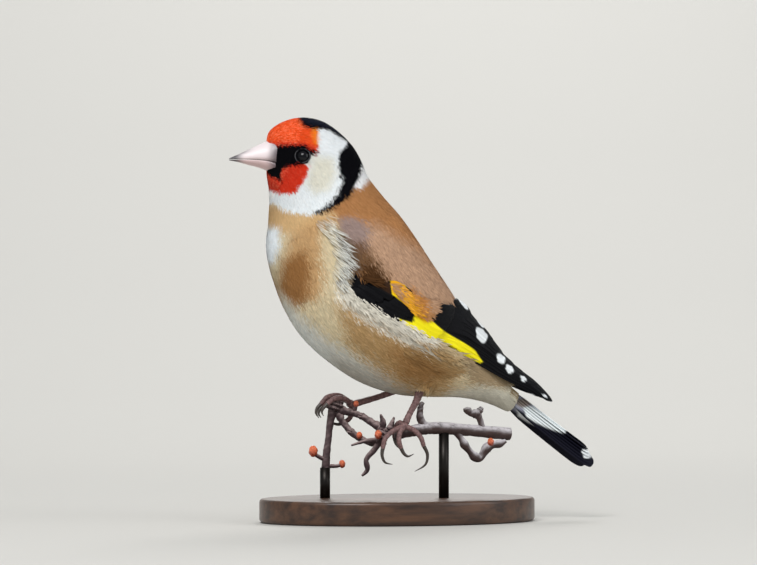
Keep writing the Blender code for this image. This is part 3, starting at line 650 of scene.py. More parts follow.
def add_node(material: Material, kind: str, **values: object) -> Node:
    """Add a node to a material and set its inputs or settings.

    Args:
        material: the material that gets the node.
        kind: the node's type name.
        **values: socket names with spaces as underscores, or settings.

    Returns:
        The new node.
    """
    node = material.node_tree.nodes.new(kind)
    for name, value in values.items():
        label = name.replace("_", " ")
        if label in node.inputs:
            node.inputs[label].default_value = value
        else:
            setattr(node, name, value)
    return node


@dataclass(frozen=True)
class Finish:
    """A plain finish: a colour, how rough it is and its clear coat."""

    name: str
    colour: str
    rough: float = 0.6
    metal: float = 0.0
    coat: float = 0.0
    specular: float = 0.5

    def start(self) -> tuple[Material, Node]:
        """A new material and its shader node."""
        made = bpy.data.materials.new(self.name)
        made.use_nodes = True
        shader = made.node_tree.nodes["Principled BSDF"]
        shader.inputs["Base Color"].default_value = srgb(self.colour)
        shader.inputs["Roughness"].default_value = self.rough
        shader.inputs["Metallic"].default_value = self.metal
        shader.inputs["Coat Weight"].default_value = self.coat
        shader.inputs["Specular IOR Level"].default_value = self.specular
        return made, shader

    def make(self) -> Material:
        """The finished material."""
        return self.start()[0]

    @staticmethod
    def tinted(made: Material, target: NodeSocket) -> None:
        """Take the value of a colour socket from the mesh."""
        tint = add_node(made, "ShaderNodeAttribute", attribute_name=COLOUR_LAYER)
        made.node_tree.links.new(tint.outputs["Color"], target)

    @staticmethod
    def raised(shader: Node, made: Material,
               height: NodeSocket, relief: float, depth_mm: float) -> None:
        """Give a surface relief.

        Args:
            shader: the material's shader node.
            made: the material.
            height: the socket that says how high each place is.
            relief: how strongly it catches the light.
            depth_mm: how deep it seems.
        """
        bump = add_node(made, "ShaderNodeBump", Strength=relief, Distance=depth_mm * MM)
        made.node_tree.links.new(height, bump.inputs["Height"])
        made.node_tree.links.new(bump.outputs["Normal"], shader.inputs["Normal"])


@dataclass(frozen=True)
class PlumageFinish(Finish):
    """Feathers that take their colour from the mesh, with fine barb relief.

    Single barbs are too fine to show, so the relief is drawn coarser, at four times
    their width.
    """

    barb_mm: float = 0.18
    coarser: float = 4.0
    relief: float = 0.15
    depth_mm: float = 0.1

    def make(self) -> Material:
        """The finished material, soft to the eye and without lines."""
        made, shader = self.start()
        links = made.node_tree.links
        self.tinted(made, shader.inputs["Base Color"])
        where = add_node(made, "ShaderNodeTexCoord")
        noise = add_node(made, "ShaderNodeTexNoise", Detail=3.0,
                         Scale=1.0 / (self.barb_mm * MM) / self.coarser)
        links.new(where.outputs["Object"], noise.inputs["Vector"])
        self.raised(shader, made, noise.outputs["Fac"], self.relief, self.depth_mm)
        return made


@dataclass(frozen=True)
class VaneFinish(Finish):
    """Flight feathers: colour from the mesh and slanting barbs along the vane.

    A long vane has well over a hundred barbs a side, too fine to show, so ninety
    coarser ones are drawn.
    """

    barbs: float = 90.0
    slant: float = -0.22
    relief: float = 0.25
    depth_mm: float = 0.06

    def make(self) -> Material:
        """The finished material, with ridges that run from the shaft to the edge."""
        made, shader = self.start()
        links = made.node_tree.links
        self.tinted(made, shader.inputs["Base Color"])
        uv = add_node(made, "ShaderNodeUVMap", uv_map=VANE_UV)
        split = add_node(made, "ShaderNodeSeparateXYZ")
        fold = add_node(made, "ShaderNodeMath", operation="ABSOLUTE")
        slant = add_node(made, "ShaderNodeMath", operation="MULTIPLY_ADD")
        slant.inputs[1].default_value = self.slant
        scale = add_node(made, "ShaderNodeMath", operation="MULTIPLY")
        scale.inputs[1].default_value = self.barbs * math.tau
        wave = add_node(made, "ShaderNodeMath", operation="SINE")
        links.new(uv.outputs["UV"], split.inputs["Vector"])
        links.new(split.outputs["X"], fold.inputs[0])
        links.new(fold.outputs["Value"], slant.inputs[0])
        links.new(split.outputs["Y"], slant.inputs[2])
        links.new(slant.outputs["Value"], scale.inputs[0])
        links.new(scale.outputs["Value"], wave.inputs[0])
        self.raised(shader, made, wave.outputs["Value"], self.relief, self.depth_mm)
        return made


@dataclass(frozen=True)
class GrainFinish(Finish):
    """A surface with mottled colour and relief from noise, in object space."""

    second: str = "000000"
    grain_mm: float = 1.0
    stretch: tuple = (1.0, 1.0, 1.0)
    relief: float = 0.4
    depth_mm: float = 0.15
    ramp: tuple = (0.35, 0.65)
    use_tint: bool = False

    def make(self) -> Material:
        """The finished material, uneven in colour and height together."""
        made, shader = self.start()
        links = made.node_tree.links
        where = add_node(made, "ShaderNodeTexCoord")
        mapping = add_node(made, "ShaderNodeMapping", Scale=self.stretch)
        noise = add_node(made, "ShaderNodeTexNoise", Scale=1.0 / (self.grain_mm * MM),
                         Detail=5.0, Roughness=0.6)
        blend = add_node(made, "ShaderNodeMix", data_type="RGBA")
        blend.inputs[6].default_value = srgb(self.colour)
        blend.inputs[7].default_value = srgb(self.second)
        ramp = add_node(made, "ShaderNodeMapRange", From_Min=self.ramp[0],
                        From_Max=self.ramp[1])
        links.new(where.outputs["Object"], mapping.inputs["Vector"])
        links.new(mapping.outputs["Vector"], noise.inputs["Vector"])
        links.new(noise.outputs["Fac"], ramp.inputs["Value"])
        links.new(ramp.outputs["Result"], blend.inputs["Factor"])
        if self.use_tint:
            self.tinted(made, blend.inputs[6])
        links.new(blend.outputs[2], shader.inputs["Base Color"])
        self.raised(shader, made, noise.outputs["Fac"], self.relief, self.depth_mm)
        return made


@dataclass(frozen=True)
class Finishes:
    """Every finish of the model, each with what it gives the eye."""

    # Matt and warm: a soft ground that closes the gaps between the tufts.
    skin: Finish = PlumageFinish("Skin under feathers", "a5794f", rough=0.9, specular=0.2)
    # Nearly no shine: the tufts look downy and the red stays deep.
    coat: Finish = PlumageFinish("Soft body feathers", "a5794f", rough=0.85, specular=0.05)
    # A low silky shine: tight black vanes that stand apart from the down.
    flight: Finish = VaneFinish("Wing and tail feathers", "0a0a0f", rough=0.5,
                                specular=0.10)
    # Smooth and hard, with a faint gloss along the ridge: pale horn.
    bill: Finish = GrainFinish("Horn of the bill", "ecd9d2", rough=0.38, second="e0c6bd",
                               grain_mm=2.0, relief=0.05, depth_mm=0.05, use_tint=True,
                               ramp=(0.6, 1.4), coat=0.15)
    # Nearly black with small sharp lights: a wet, living eye.
    eye: Finish = Finish("Dark wet eye", "04040a", rough=0.09, specular=0.2, coat=0.15)
    # Dull and wrinkled: bare skin that sets the wet eye off.
    lid: Finish = GrainFinish("Eyelid", "34343a", rough=0.55, second="1a1a1e",
                              grain_mm=0.25, relief=0.5, depth_mm=0.05)
    # Fleshy brown with darker hollows: dry, scaled skin.
    leg: Finish = GrainFinish("Scaled leg skin", "8b6a68", rough=0.55, second="5c4241",
                              grain_mm=0.6, relief=0.4, depth_mm=0.08)
    # Darker and glossier than the toes: hard points.
    claw: Finish = Finish("Claw horn", "453d37", rough=0.4, coat=0.1)
    # Dull, with long dark cracks: weathered bark.
    bark: Finish = GrainFinish("Twig bark", "6e6664", rough=0.8, second="2a201f",
                               grain_mm=0.8, stretch=(0.6, 1.0, 1.0), relief=0.8,
                               depth_mm=0.25, ramp=(0.48, 0.8), use_tint=True)
    # The dullest and the most broken up: crumbly crust on the knot.
    bark_pale: Finish = GrainFinish("Crusted bark", "a09492", rough=0.9, second="382a29",
                                    grain_mm=0.5, relief=1.0, depth_mm=0.4,
                                    ramp=(0.45, 0.7), use_tint=True)
    # Warm red with a waxy gleam: fresh buds against the grey bark.
    bud: Finish = GrainFinish("Bud scales", "b34a30", rough=0.38, second="5a1c16",
                              grain_mm=0.6, relief=0.3, depth_mm=0.08, coat=0.2,
                              ramp=(0.5, 0.9), use_tint=True)
    # A long straight grain under satin varnish: a quiet, finished base.
    wood: Finish = GrainFinish("Dark wood base", "5a3b26", rough=0.42, second="2f1c11",
                               grain_mm=2.2, stretch=(0.08, 1.0, 1.0), relief=0.12,
                               depth_mm=0.08, coat=0.25)
    # Dark metal with a soft highlight: rods that stay in the background.
    rod: Finish = Finish("Blackened rod", "2a2725", rough=0.38, metal=0.9)


class Builder:
    """Shared work of every piece maker."""

    materials: dict[str, Material] = {}

    def __init__(self, finishes: Finishes) -> None:
        """Keep the finishes."""
        self.finishes = finishes

    def material(self, name: str) -> Material:
        """The material of one named finish, made once."""
        if name not in Builder.materials:
            Builder.materials[name] = getattr(self.finishes, name).make()
        return Builder.materials[name]

    @staticmethod
    def seal(work: BMesh, near: float) -> None:
        """Weld a rolled grid, fill its open ends and turn its faces outward.

        Args:
            work: the bmesh to close.
            near: metres within which corners are welded.
        """
        bmesh.ops.remove_doubles(work, verts=work.verts, dist=near)
        holes = [edge for edge in work.edges if edge.is_boundary]
        bmesh.ops.holes_fill(work, edges=holes, sides=0)
        bmesh.ops.recalc_face_normals(work, faces=work.faces)

    def from_bmesh(self, name: str, work: BMesh, finish: str, nodes: tuple, slot: str) -> Object:
        """Turn a bmesh into a smooth piece and free it.

        Args:
            name: the piece's name.
            work: its faces.
            finish: name of its finish.
            nodes: the solid nodes it replaces.
            slot: its material slot; not used.

        Returns:
            The new object.
        """
        mesh = bpy.data.meshes.new(name)
        for face in work.faces:
            face.smooth = True
        work.to_mesh(mesh)
        work.free()
        return self.register(name, mesh, finish, nodes, slot)

    def register(self, name: str, mesh: Mesh, finish: str, nodes: tuple, slot: str) -> Object:
        """Link a mesh as a piece that rides on the root and replaces solid nodes."""
        mesh.materials.append(self.material(finish))
        made = bpy.data.objects.new(name, mesh)
        bpy.context.scene.collection.objects.link(made)
        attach(made, "root")
        if nodes:
            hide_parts(*nodes)
        LOG.info("%s: %d faces", name, len(mesh.polygons))
        return made


class SkinBuilder(Builder):
    """The one closed skin under the coat."""

    ALONG = 170
    AROUND = 96
    # The skin ends here, short of the tail's root.
    LAST_U = 19.8
    # Millimetres by which it falls away further, at the bill and round the eyes.
    BILL_DIP = 0.5
    EYE_DIP = 1.3
    WELD = 1e-6

    def __init__(self, finishes: Finishes, body: BodyForm, marks: Markings,
                 eyes: "EyeSizes") -> None:
        """Keep the body's shape, its markings and the eyes' places."""
        super().__init__(finishes)
        self.body = body
        self.marks = marks
        self.eyes = eyes

    def build(self) -> Object:
        """Make the skin from a grid rolled round the body."""
        work = bmesh.new()
        bake = work.loops.layers.uv.new(BAKE_UV)
        tint = work.verts.layers.float_color.new(COLOUR_LAYER)
        bmesh.ops.create_grid(work, x_segments=self.ALONG, y_segments=self.AROUND, size=1.0)
        verts = list(work.verts)
        flat = np.array([vert.co for vert in verts])
        u = (flat[:, 0] + 1) / 2 * self.LAST_U
        turn = (flat[:, 1] + 1) / 2
        phi = turn * math.tau
        lift = np.full(u.shape, -COAT_DEPTH)
        lift -= self.BILL_DIP * ease(1.2, 0.0, u)
        size_u, size_f = self.body.stretch(u, phi)
        for target in (self.eyes.phi, math.tau - self.eyes.phi):
            gap = np.hypot((u - self.eyes.u) * size_u, (phi - target) * size_f)
            lift -= self.EYE_DIP * (1.0 - ease(1.1, 1.9, gap))
        points = world(self.body.place(u, phi, lift))
        colours = self.marks.colour(*self.body.seen(u, phi))
        for vert, point, colour in zip(verts, points, colours):
            vert[tint] = opaque(colour)
            vert.co = point
        places = {vert: (uu / BODY_ROWS, tt) for vert, uu, tt in zip(verts, u, turn)}
        for face in work.faces:
            for loop in face.loops:
                loop[bake].uv = places[loop.vert]
        self.seal(work, self.WELD)
        nodes = COVERED["body"] + COVERED["thigh_left"] + COVERED["thigh_right"]
        return self.from_bmesh("body_skin", work, "skin", nodes, "feathers")


@dataclass(frozen=True)
class EyeSizes:
    """Where each eye sits and how big it is."""

    u: float = 5.62
    phi: float = 1.385
    radius: float = 1.95
    depth: float = 1.75
    lid_radius: float = 1.80
    lid_tube: float = 0.16
    lid_gap: float = 0.32
    lid_oval: float = 1.06
    lid_fold: float = 0.012
    lid_folds: float = 23.0


@dataclass(frozen=True)
class CoatPatch:
    """One area of body feathers and how they grow there.

    Attributes:
        u: first and last place along the shape.
        phi: first and last place round it, on both sides.
        count: tufts in all.
        length: feather length in millimetres at the first and last u.
        width: blade width there.
        fan: turn between the blades of a tuft.
        lift: height of the root and of the tip over the shape.
        heading: turn of the lie, positive towards the belly.
        jitter: how unevenly the blades are turned.
        edge: how far a colour edge is broken up, in side-view steps.
        read: share of the length at which the colour is read.
        streak: how much the blades of a tuft differ in brightness.
        glint: how much lighter single blades may be.
        loose: how unevenly the tips stand out.
        nudge: side-view steps from the tuft to where its colour is read.
        tone: the colour of the tips, where it differs from the marking.
        inside: outline that the tips have to keep to.
        outside: outlines that the tips have to stay out of.
        shape: the surface it grows on.
    """

    name: str
    u: tuple[float, float]
    phi: tuple[float, float]
    count: int
    length: tuple[float, float]
    width: tuple[float, float]
    fan: float = 0.15
    lift: tuple[float, float] = (-COAT_DEPTH, 0.0)
    heading: float = 0.0
    jitter: float = 0.12
    edge: float = 1.0
    read: float = 0.8
    streak: float = 0.05
    glint: float = 0.0
    loose: float = 0.0
    nudge: tuple[float, float] = (0.0, 0.0)
    tone: str = ""
    inside: tuple = ()
    outside: tuple = ()
    shape: str = "body"


class CoatBuilder(Builder):
    """Thousands of small feather tufts that lie along the body.

    The barbs of a body feather are too fine to show, so each tuft is drawn coarser, as
    three narrow blades.
    """

    BLADES = 3
    # Places along a blade, with the share of its width there and painted shade: darker at the
    # root, under the tufts above, and a little lighter at the open tip.
    STATIONS = (0.0, 0.36, 0.72, 1.0)
    WIDTHS = (0.55, 1.0, 0.78, 0.10)
    ROOT_SHADE = (0.80, 0.92, 1.0, 1.04)
    # The colour of a glint, and how many of the blades have one.
    WARM = (1.0, 0.62, 0.36)
    GLINTS = 0.3
    # Millimetres round the middle of the eye where no tuft grows.
    EYE_RING = 2.0
    # Share of the length at which a tuft is held against the outlines.
    TIP_TEST = 0.85
    # How many places are tried to learn a patch's area.
    TRIALS = 4000
    # Spreads the roots evenly without rows.
    GOLDEN = 1.32471795724
    # Ranges by which tufts differ.
    LENGTHS = (0.8, 1.15)
    BREADTHS = (0.85, 1.15)
    TONES = (0.95, 1.05)
    REACHES = (0.82, 1.1)
    TIPS = (-0.10, 0.05)
    STREAKS = (-1.0, 1.6)
    # The step between two blades on the unwrap.
    UNWRAP_BLADE = 0.001

    def __init__(self, finishes: Finishes, shapes: dict, marks: Markings, eyes: EyeSizes) -> None:
        """Keep the shapes by name and start the random draws."""
        super().__init__(finishes)
        self.shapes = shapes
        self.marks = marks
        self.eyes = eyes
        self.rng = np.random.default_rng(71)

    def _roots(self, patch: CoatPatch, count: int) -> Pair:
        """Spread roots evenly over a patch, both sides of the bird.

        Args:
            patch: the area and its outlines.
            count: about how many roots there are before the outlines cut it.

        Returns:
            Places along and round the shape.
        """
        shape = self.shapes[patch.shape]
        trial = self._spread(patch, self.TRIALS)
        sizes = shape.stretch(*trial)
        area = sizes[0] * sizes[1]
        peak = area.max()
        u, phi = self._spread(patch, int(count * peak / area.mean()))
        size_u, size_f = shape.stretch(u, phi)
        keep = self.rng.random(len(u)) < size_u * size_f / peak
        u, phi, size_u, size_f = u[keep], phi[keep], size_u[keep], size_f[keep]
        if patch.shape == "body":
            gap = np.hypot((u - self.eyes.u) * size_u,
                           (np.abs(phi) - self.eyes.phi) * size_f)
            u, phi = u[gap > self.EYE_RING], phi[gap > self.EYE_RING]
        size_u, size_f = shape.stretch(u, phi)
        turn = patch.heading * np.sign(phi)
        reach = self.TIP_TEST * patch.length[1]
        x, y = shape.seen(u + reach * np.cos(turn) / size_u,
                          phi + reach * np.sin(turn) / size_f)
        keep = np.ones(len(u), dtype=bool)
        if patch.inside:
            keep &= Outline(patch.inside, 0.5).share(x, y) > 0.5
        for points in patch.outside:
            keep &= Outline(points, 0.5).share(x, y) < 0.5
        return u[keep], phi[keep]

    def _spread(self, patch: CoatPatch, count: int) -> Pair:
        """Even places over the patch, left and right in turn."""
        n = np.arange(count)
        u = between(patch.u, (0.5 + n / self.GOLDEN) % 1.0)
        phi = between(patch.phi, (0.5 + n / self.GOLDEN ** 2) % 1.0)
        return u, phi * np.where(n % 2 == 0, 1.0, -1.0)

    def build(self, patch: CoatPatch) -> Object:
        """Make one coat piece.

        Args:
            patch: the area and how its feathers grow.

        Returns:
            The piece.
        """
        shape = self.shapes[patch.shape]
        u, phi = self._roots(patch, patch.count)
        count = len(u)
        share = np.clip((u - patch.u[0]) / max(patch.u[1] - patch.u[0], 1e-6), 0, 1)
        length = between(patch.length, share) * self.rng.uniform(*self.LENGTHS, count)
        width = between(patch.width, share) * self.rng.uniform(*self.BREADTHS, count)
        size_u, size_f = shape.stretch(u, phi)
        normal = shape.normal(u, phi)
        turn = patch.heading * np.sign(phi)
        x, y = shape.seen(u + patch.read * length * np.cos(turn) / size_u,
                          phi + patch.read * length * np.sin(turn) / size_f)
        noise = self.rng.normal(0.0, patch.edge, (2, count))
        colours = self.marks.colour(x + noise[0] + patch.nudge[0],
                                    y + noise[1] + patch.nudge[1])
        colours = colours * self.rng.uniform(*self.TONES, (count, 1))
        stations = np.array(self.STATIONS)
        verts = []
        tints = []
        patches = []
        base = np.stack([u / BODY_ROWS, (phi / math.tau) % 1.0], axis=1)
        for blade in range(self.BLADES):
            off = blade - (self.BLADES - 1) / 2
            angle = turn + patch.fan * off + self.rng.normal(0.0, patch.jitter, count)
            reach = length * self.rng.uniform(*self.REACHES, count)
            reach = reach * (1 - 0.06 * abs(off))
            step_u = (reach * np.cos(angle) / size_u)[:, None] * stations
            slip = (reach * np.sin(angle))[:, None] * stations + (width * 0.5 * off)[:, None]
            low, high = patch.lift
            tip = high * (1.0 - patch.loose * self.rng.random(count))
            tip = tip + self.rng.uniform(*self.TIPS, count)
            rise = low + (tip[:, None] - low) * np.sin(stations * math.pi / 2) ** 0.8
            centre = shape.place(u[:, None] + step_u, phi[:, None] + slip / size_f[:, None],
                                 rise)
            along = np.gradient(centre, axis=1)
            side = unit(np.cross(along, normal[:, None, :]))
            half = (width[:, None] * np.array(self.WIDTHS) * 0.5)[..., None]
            verts.append(np.stack([centre - side * half, centre + side * half], axis=2))
            own = self.rng.uniform(*self.STREAKS, (count, 1, 1, 1))
            own = 1.0 + patch.streak * own
            # Painted shade and light along each blade: a dark root and a lighter tip.
            tint = colours[:, None, None, :] * np.array(self.ROOT_SHADE)[None, :, None, None]
            if patch.tone:
                share = (stations ** 1.3)[None, :, None, None]
                tint = tint * (1 - share) + linear(patch.tone) * share
            pale = colours.max(axis=1)[:, None, None, None] * np.array(self.WARM)
            pale = pale * patch.glint * (self.rng.random((count, 1, 1, 1)) < self.GLINTS)
            tints.append(np.broadcast_to(tint * own + pale, (count, len(stations), 2, 3)))
            grain = np.zeros((len(stations), 2, 2))
            grain[:, :, 0] = stations[:, None] * UNWRAP_LENGTH
            grain[:, 0, 1] = self.UNWRAP_BLADE * blade
            grain[:, 1, 1] = self.UNWRAP_BLADE * (blade + 1)
            patches.append(base[:, None, None, :] + grain[None])
        points = np.stack(verts, axis=1).reshape(-1, 3)
        tints = np.stack(tints, axis=1).reshape(-1, 3)
        coords = np.stack(patches, axis=1).reshape(-1, 2)
        rows = len(stations)
        first = np.arange(count * self.BLADES)[:, None] * rows * 2
        quads = [first + np.array([[2 * j, 2 * j + 1, 2 * j + 3, 2 * j + 2]])
                 for j in range(rows - 1)]
        quads = np.stack(quads, axis=1).reshape(-1, 4)
        mesh = joined_mesh(patch.name, world(points), quads, tints, coords)
        return self.register(patch.name, mesh, "coat", COVERED[patch.shape], "feathers")


def joined_mesh(name: str, points: np.ndarray, quads: np.ndarray, tints: np.ndarray,
                coords: np.ndarray) -> Mesh:
    """One mesh from arrays of many small vanes.

    Args:
        name: the mesh's name.
        points: places in metres.
        quads: four corners to a face.
        tints: linear colour of each point.
        coords: place of each point on the unwrap.

    Returns:
        The mesh with its colour layer and unwrap.
    """
    mesh = bpy.data.meshes.new(name)
    mesh.vertices.add(len(points))
    mesh.vertices.foreach_set("co", points.astype(np.float32).ravel())
    mesh.loops.add(quads.size)
    mesh.loops.foreach_set("vertex_index", quads.astype(np.int32).ravel())
    mesh.polygons.add(len(quads))
    mesh.polygons.foreach_set("loop_start", np.arange(0, quads.size, 4, dtype=np.int32))
    mesh.update(calc_edges=True)
    layer = mesh.uv_layers.new(name=BAKE_UV)
    layer.data.foreach_set("uv", coords[quads.ravel()].astype(np.float32).ravel())
    colour = mesh.color_attributes.new(COLOUR_LAYER, "FLOAT_COLOR", "POINT")
    full = np.concatenate([tints, np.ones((len(tints), 1))], axis=1)
    colour.data.foreach_set("color", full.astype(np.float32).ravel())
    mesh.polygons.foreach_set("use_smooth", np.ones(len(quads), dtype=bool))
    mesh.validate()
    return mesh


@dataclass(frozen=True)
class VaneShape:
    """Cross and lengthwise shape of a big feather, in millimetres.

    Attributes:
        half: half its width.
        camber: how much it is arched across.
        across: faces across it.
        along: faces along it.
        tip: how blunt its tip is.
        tip_from: share of the length at which the tip begins to round.
        base: share of the width at the root.
        base_to: share of the length at which it is at its widest.
        shaft: how far the shaft stands out.
        shaft_half: half the shaft's width, as a share of the vane's.
    """

    half: float
    camber: float
    across: int
    along: int
    tip: float = 0.8
    tip_from: float = 0.86
    base: float = 0.45
    base_to: float = 0.35
    shaft: float = 0.06
    shaft_half: float = 0.12


class VaneBuilder(Builder):
    """Big feathers as curved, slightly thick vanes with a shaft."""

    # Places that a vane's line is given by.
    STATIONS = 9
    # How much lighter a vane is at its edges than at its shaft.
    EDGE_LIGHT = 0.08
    # Half a vane's width on the unwrap.
    UNWRAP_HALF = 0.0015

    def __init__(self, finishes: Finishes, marks: WingMarkings, view: SideView) -> None:
        """Keep the markings and the view they are read in."""
        super().__init__(finishes)
        self.marks = marks
        self.view = view

    def add(self, work: BMesh, line: np.ndarray, normals: np.ndarray,
            shape: VaneShape, kind: FeatherKind, bake: tuple[float, float],
            shade: float = 1.0) -> None:
        """Add one vane along a line of places.

        Args:
            work: the bmesh that gathers the tier.
            line: places of the shaft in millimetres.
            normals: outward directions along it.
            shape: the vane's sizes.
            kind: how it is marked.
            bake: its place on the unwrap.
            shade: how bright it is.
        """
        made = bmesh.ops.create_grid(work, x_segments=shape.across, y_segments=shape.along,
                                     size=1.0)
        verts = made["verts"]
        flat = np.array([vert.co for vert in verts])
        s = flat[:, 0]
        t = (flat[:, 1] + 1) / 2
        count = len(line)
        spots = spline(line, t * (count - 1))
        ups = unit(spline(normals, t * (count - 1)))
        ahead = spline(line, np.minimum(t + 0.02, 1.0) * (count - 1))
        behind = spline(line, np.maximum(t - 0.02, 0.0) * (count - 1))
        along = unit(ahead - behind)
        side = unit(np.cross(along, ups))
        ups = unit(np.cross(side, along))
        past = ((t - shape.tip_from) / (1.0 - shape.tip_from)).clip(0, 1)
        round_tip = np.sqrt(np.clip(1.0 - past ** 2, 0.02, 1.0))
        half = shape.half * between((shape.base, 1.0), ease(0.0, shape.base_to, t))
        half = half * round_tip ** shape.tip
        camber = shape.camber * (1 - s ** 2) - 0.02
        shaft = shape.shaft * np.exp(-(s / shape.shaft_half) ** 2)
        places = spots + side * (s * half)[:, None] + ups * (camber + shaft)[:, None]
        tint = self.marks.colour(kind, *self.view.places(places))
        tint = tint * (shade * (1.0 + self.EDGE_LIGHT * np.abs(s)))[:, None]
        colour = work.verts.layers.float_color[COLOUR_LAYER]
        vane = work.loops.layers.uv[VANE_UV]
        unwrap = work.loops.layers.uv[BAKE_UV]
        metres = world(places)
        for vert, point, value in zip(verts, metres, tint):
            vert.co = point
            vert[colour] = opaque(value)
        index = {vert: i for i, vert in enumerate(verts)}
        for face in {face for vert in verts for face in vert.link_faces}:
            for loop in face.loops:
                i = index[loop.vert]
                loop[vane].uv = (s[i], t[i])
                loop[unwrap].uv = (bake[0] + self.UNWRAP_HALF * s[i],
                                   bake[1] + UNWRAP_LENGTH * t[i])

    @staticmethod
    def start() -> BMesh:
        """A bmesh with the layers that vanes need."""
        work = bmesh.new()
        work.verts.layers.float_color.new(COLOUR_LAYER)
        work.loops.layers.uv.new(BAKE_UV)
        work.loops.layers.uv.new(VANE_UV)
        return work

    def close(self, name: str, work: BMesh, nodes: tuple, thick: float) -> Object:
        """Give the tier its thickness and make it a piece."""
        bmesh.ops.solidify(work, geom=list(work.faces), thickness=thick * MM)
        return self.from_bmesh(name, work, "flight", nodes, "flight_feathers")


@dataclass(frozen=True)
class Tier:
    """A row of wing feathers: roots and tips as places on the folded wing."""

    name: str
    kind: FeatherKind
    roots: tuple
    tips: tuple
    half: tuple[float, float]
    lift: tuple[float, float]
    count: int
    bend: float = 1.3


@dataclass(frozen=True)
class WingSizes:
    """Rows along the folded left wing: lower edge, middle and upper edge."""

    rows: tuple = (
        (-20.2, -16.8, 59.0, -19.4, -17.1, 61.1, -18.6, -17.2, 63.6),
        (-16.6, -17.5, 56.2, -14.8, -18.0, 59.0, -13.8, -17.9, 61.7),
        (-10.5, -18.0, 53.0, -9.1, -18.2, 56.5, -7.7, -17.8, 60.0),
        (-4.4, -17.5, 50.1, -2.9, -17.5, 53.4, -1.7, -17.0, 56.5),
        (1.3, -16.1, 47.1, 3.6, -15.6, 50.6, 6.5, -12.6, 55.4),
        (7.4, -14.0, 44.4, 10.4, -11.6, 50.0, 12.6, -4.4, 57.2),
        (13.7, -11.1, 41.8, 16.0, -9.0, 46.6, 17.8, -2.6, 52.2),
        (17.5, -9.4, 40.2, 19.8, -7.4, 43.8, 21.4, -2.1, 48.2),
        (22.6, -7.8, 37.8, 24.2, -6.0, 40.2, 25.8, -1.9, 42.8),
        (27.6, -6.4, 35.6, 28.7, -5.0, 37.3, 29.9, -1.9, 39.3),
        (33.4, -4.8, 33.2, 34.0, -3.9, 34.2, 34.6, -2.0, 35.6),
        (38.6, -3.4, 30.0, 38.8, -3.1, 30.2, 39.2, -2.4, 30.5),
    )
    tiers: tuple = (
        Tier("primaries", FeatherKind.PRIMARY,
             ((3.3, 0.06), (3.4, 0.12), (3.5, 0.18), (3.6, 0.24), (3.7, 0.30), (3.8, 0.36),
              (3.9, 0.42), (4.0, 0.48)),
             ((10.5, 0.12), (10.8, 0.30), (10.95, 0.50), (10.6, 0.60), (10.0, 0.62),
              (9.4, 0.66), (8.75, 0.74), (7.95, 0.80)), (1.5, 2.0), (0.0, 0.42), 8, 1.25),
        Tier("secondaries", FeatherKind.SECONDARY,
             ((3.6, 0.40), (3.7, 0.48), (3.8, 0.56), (3.9, 0.64), (4.0, 0.70)),
             ((8.2, 0.62), (7.9, 0.70), (7.6, 0.76), (7.3, 0.78), (7.05, 0.78)),
             (1.9, 2.0), (0.45, 0.75), 5, 1.25),
        Tier("tertials", FeatherKind.TERTIAL,
             ((3.9, 0.62), (4.1, 0.72), (4.3, 0.84)),
             ((7.0, 0.72), (6.5, 0.78), (5.55, 0.82)),
             (1.9, 1.7), (0.65, 0.85), 3, 1.2),
        Tier("greater_coverts", FeatherKind.COVERT,
             ((2.0, 0.06), (2.2, 0.18), (2.4, 0.30), (2.6, 0.42), (2.8, 0.54), (3.0, 0.66),
              (3.2, 0.78), (3.3, 0.90)),
             ((4.2, 0.06), (4.25, 0.17), (4.3, 0.28), (4.35, 0.39), (4.4, 0.50),
              (4.45, 0.60), (4.5, 0.70), (4.5, 0.80)), (1.15, 1.3), (0.75, 1.0), 8),
        Tier("median_coverts", FeatherKind.COVERT,
             ((1.0, 0.06), (1.2, 0.20), (1.4, 0.34), (1.6, 0.48), (1.9, 0.62), (2.2, 0.76),
              (2.5, 0.90)),
             ((2.6, 0.06), (2.7, 0.20), (2.9, 0.34), (3.1, 0.48), (3.3, 0.60), (3.5, 0.72),
              (3.7, 0.84)), (1.15, 1.25), (0.85, 1.0), 7),
        Tier("lesser_coverts", FeatherKind.COVERT,
             ((0.1, 0.15), (0.3, 0.40), (0.6, 0.62), (1.0, 0.80), (1.4, 0.95)),
             ((1.4, 0.08), (1.6, 0.30), (1.9, 0.52), (2.2, 0.72), (2.6, 0.90)),
             (1.1, 1.2), (0.85, 0.95), 5),
    )


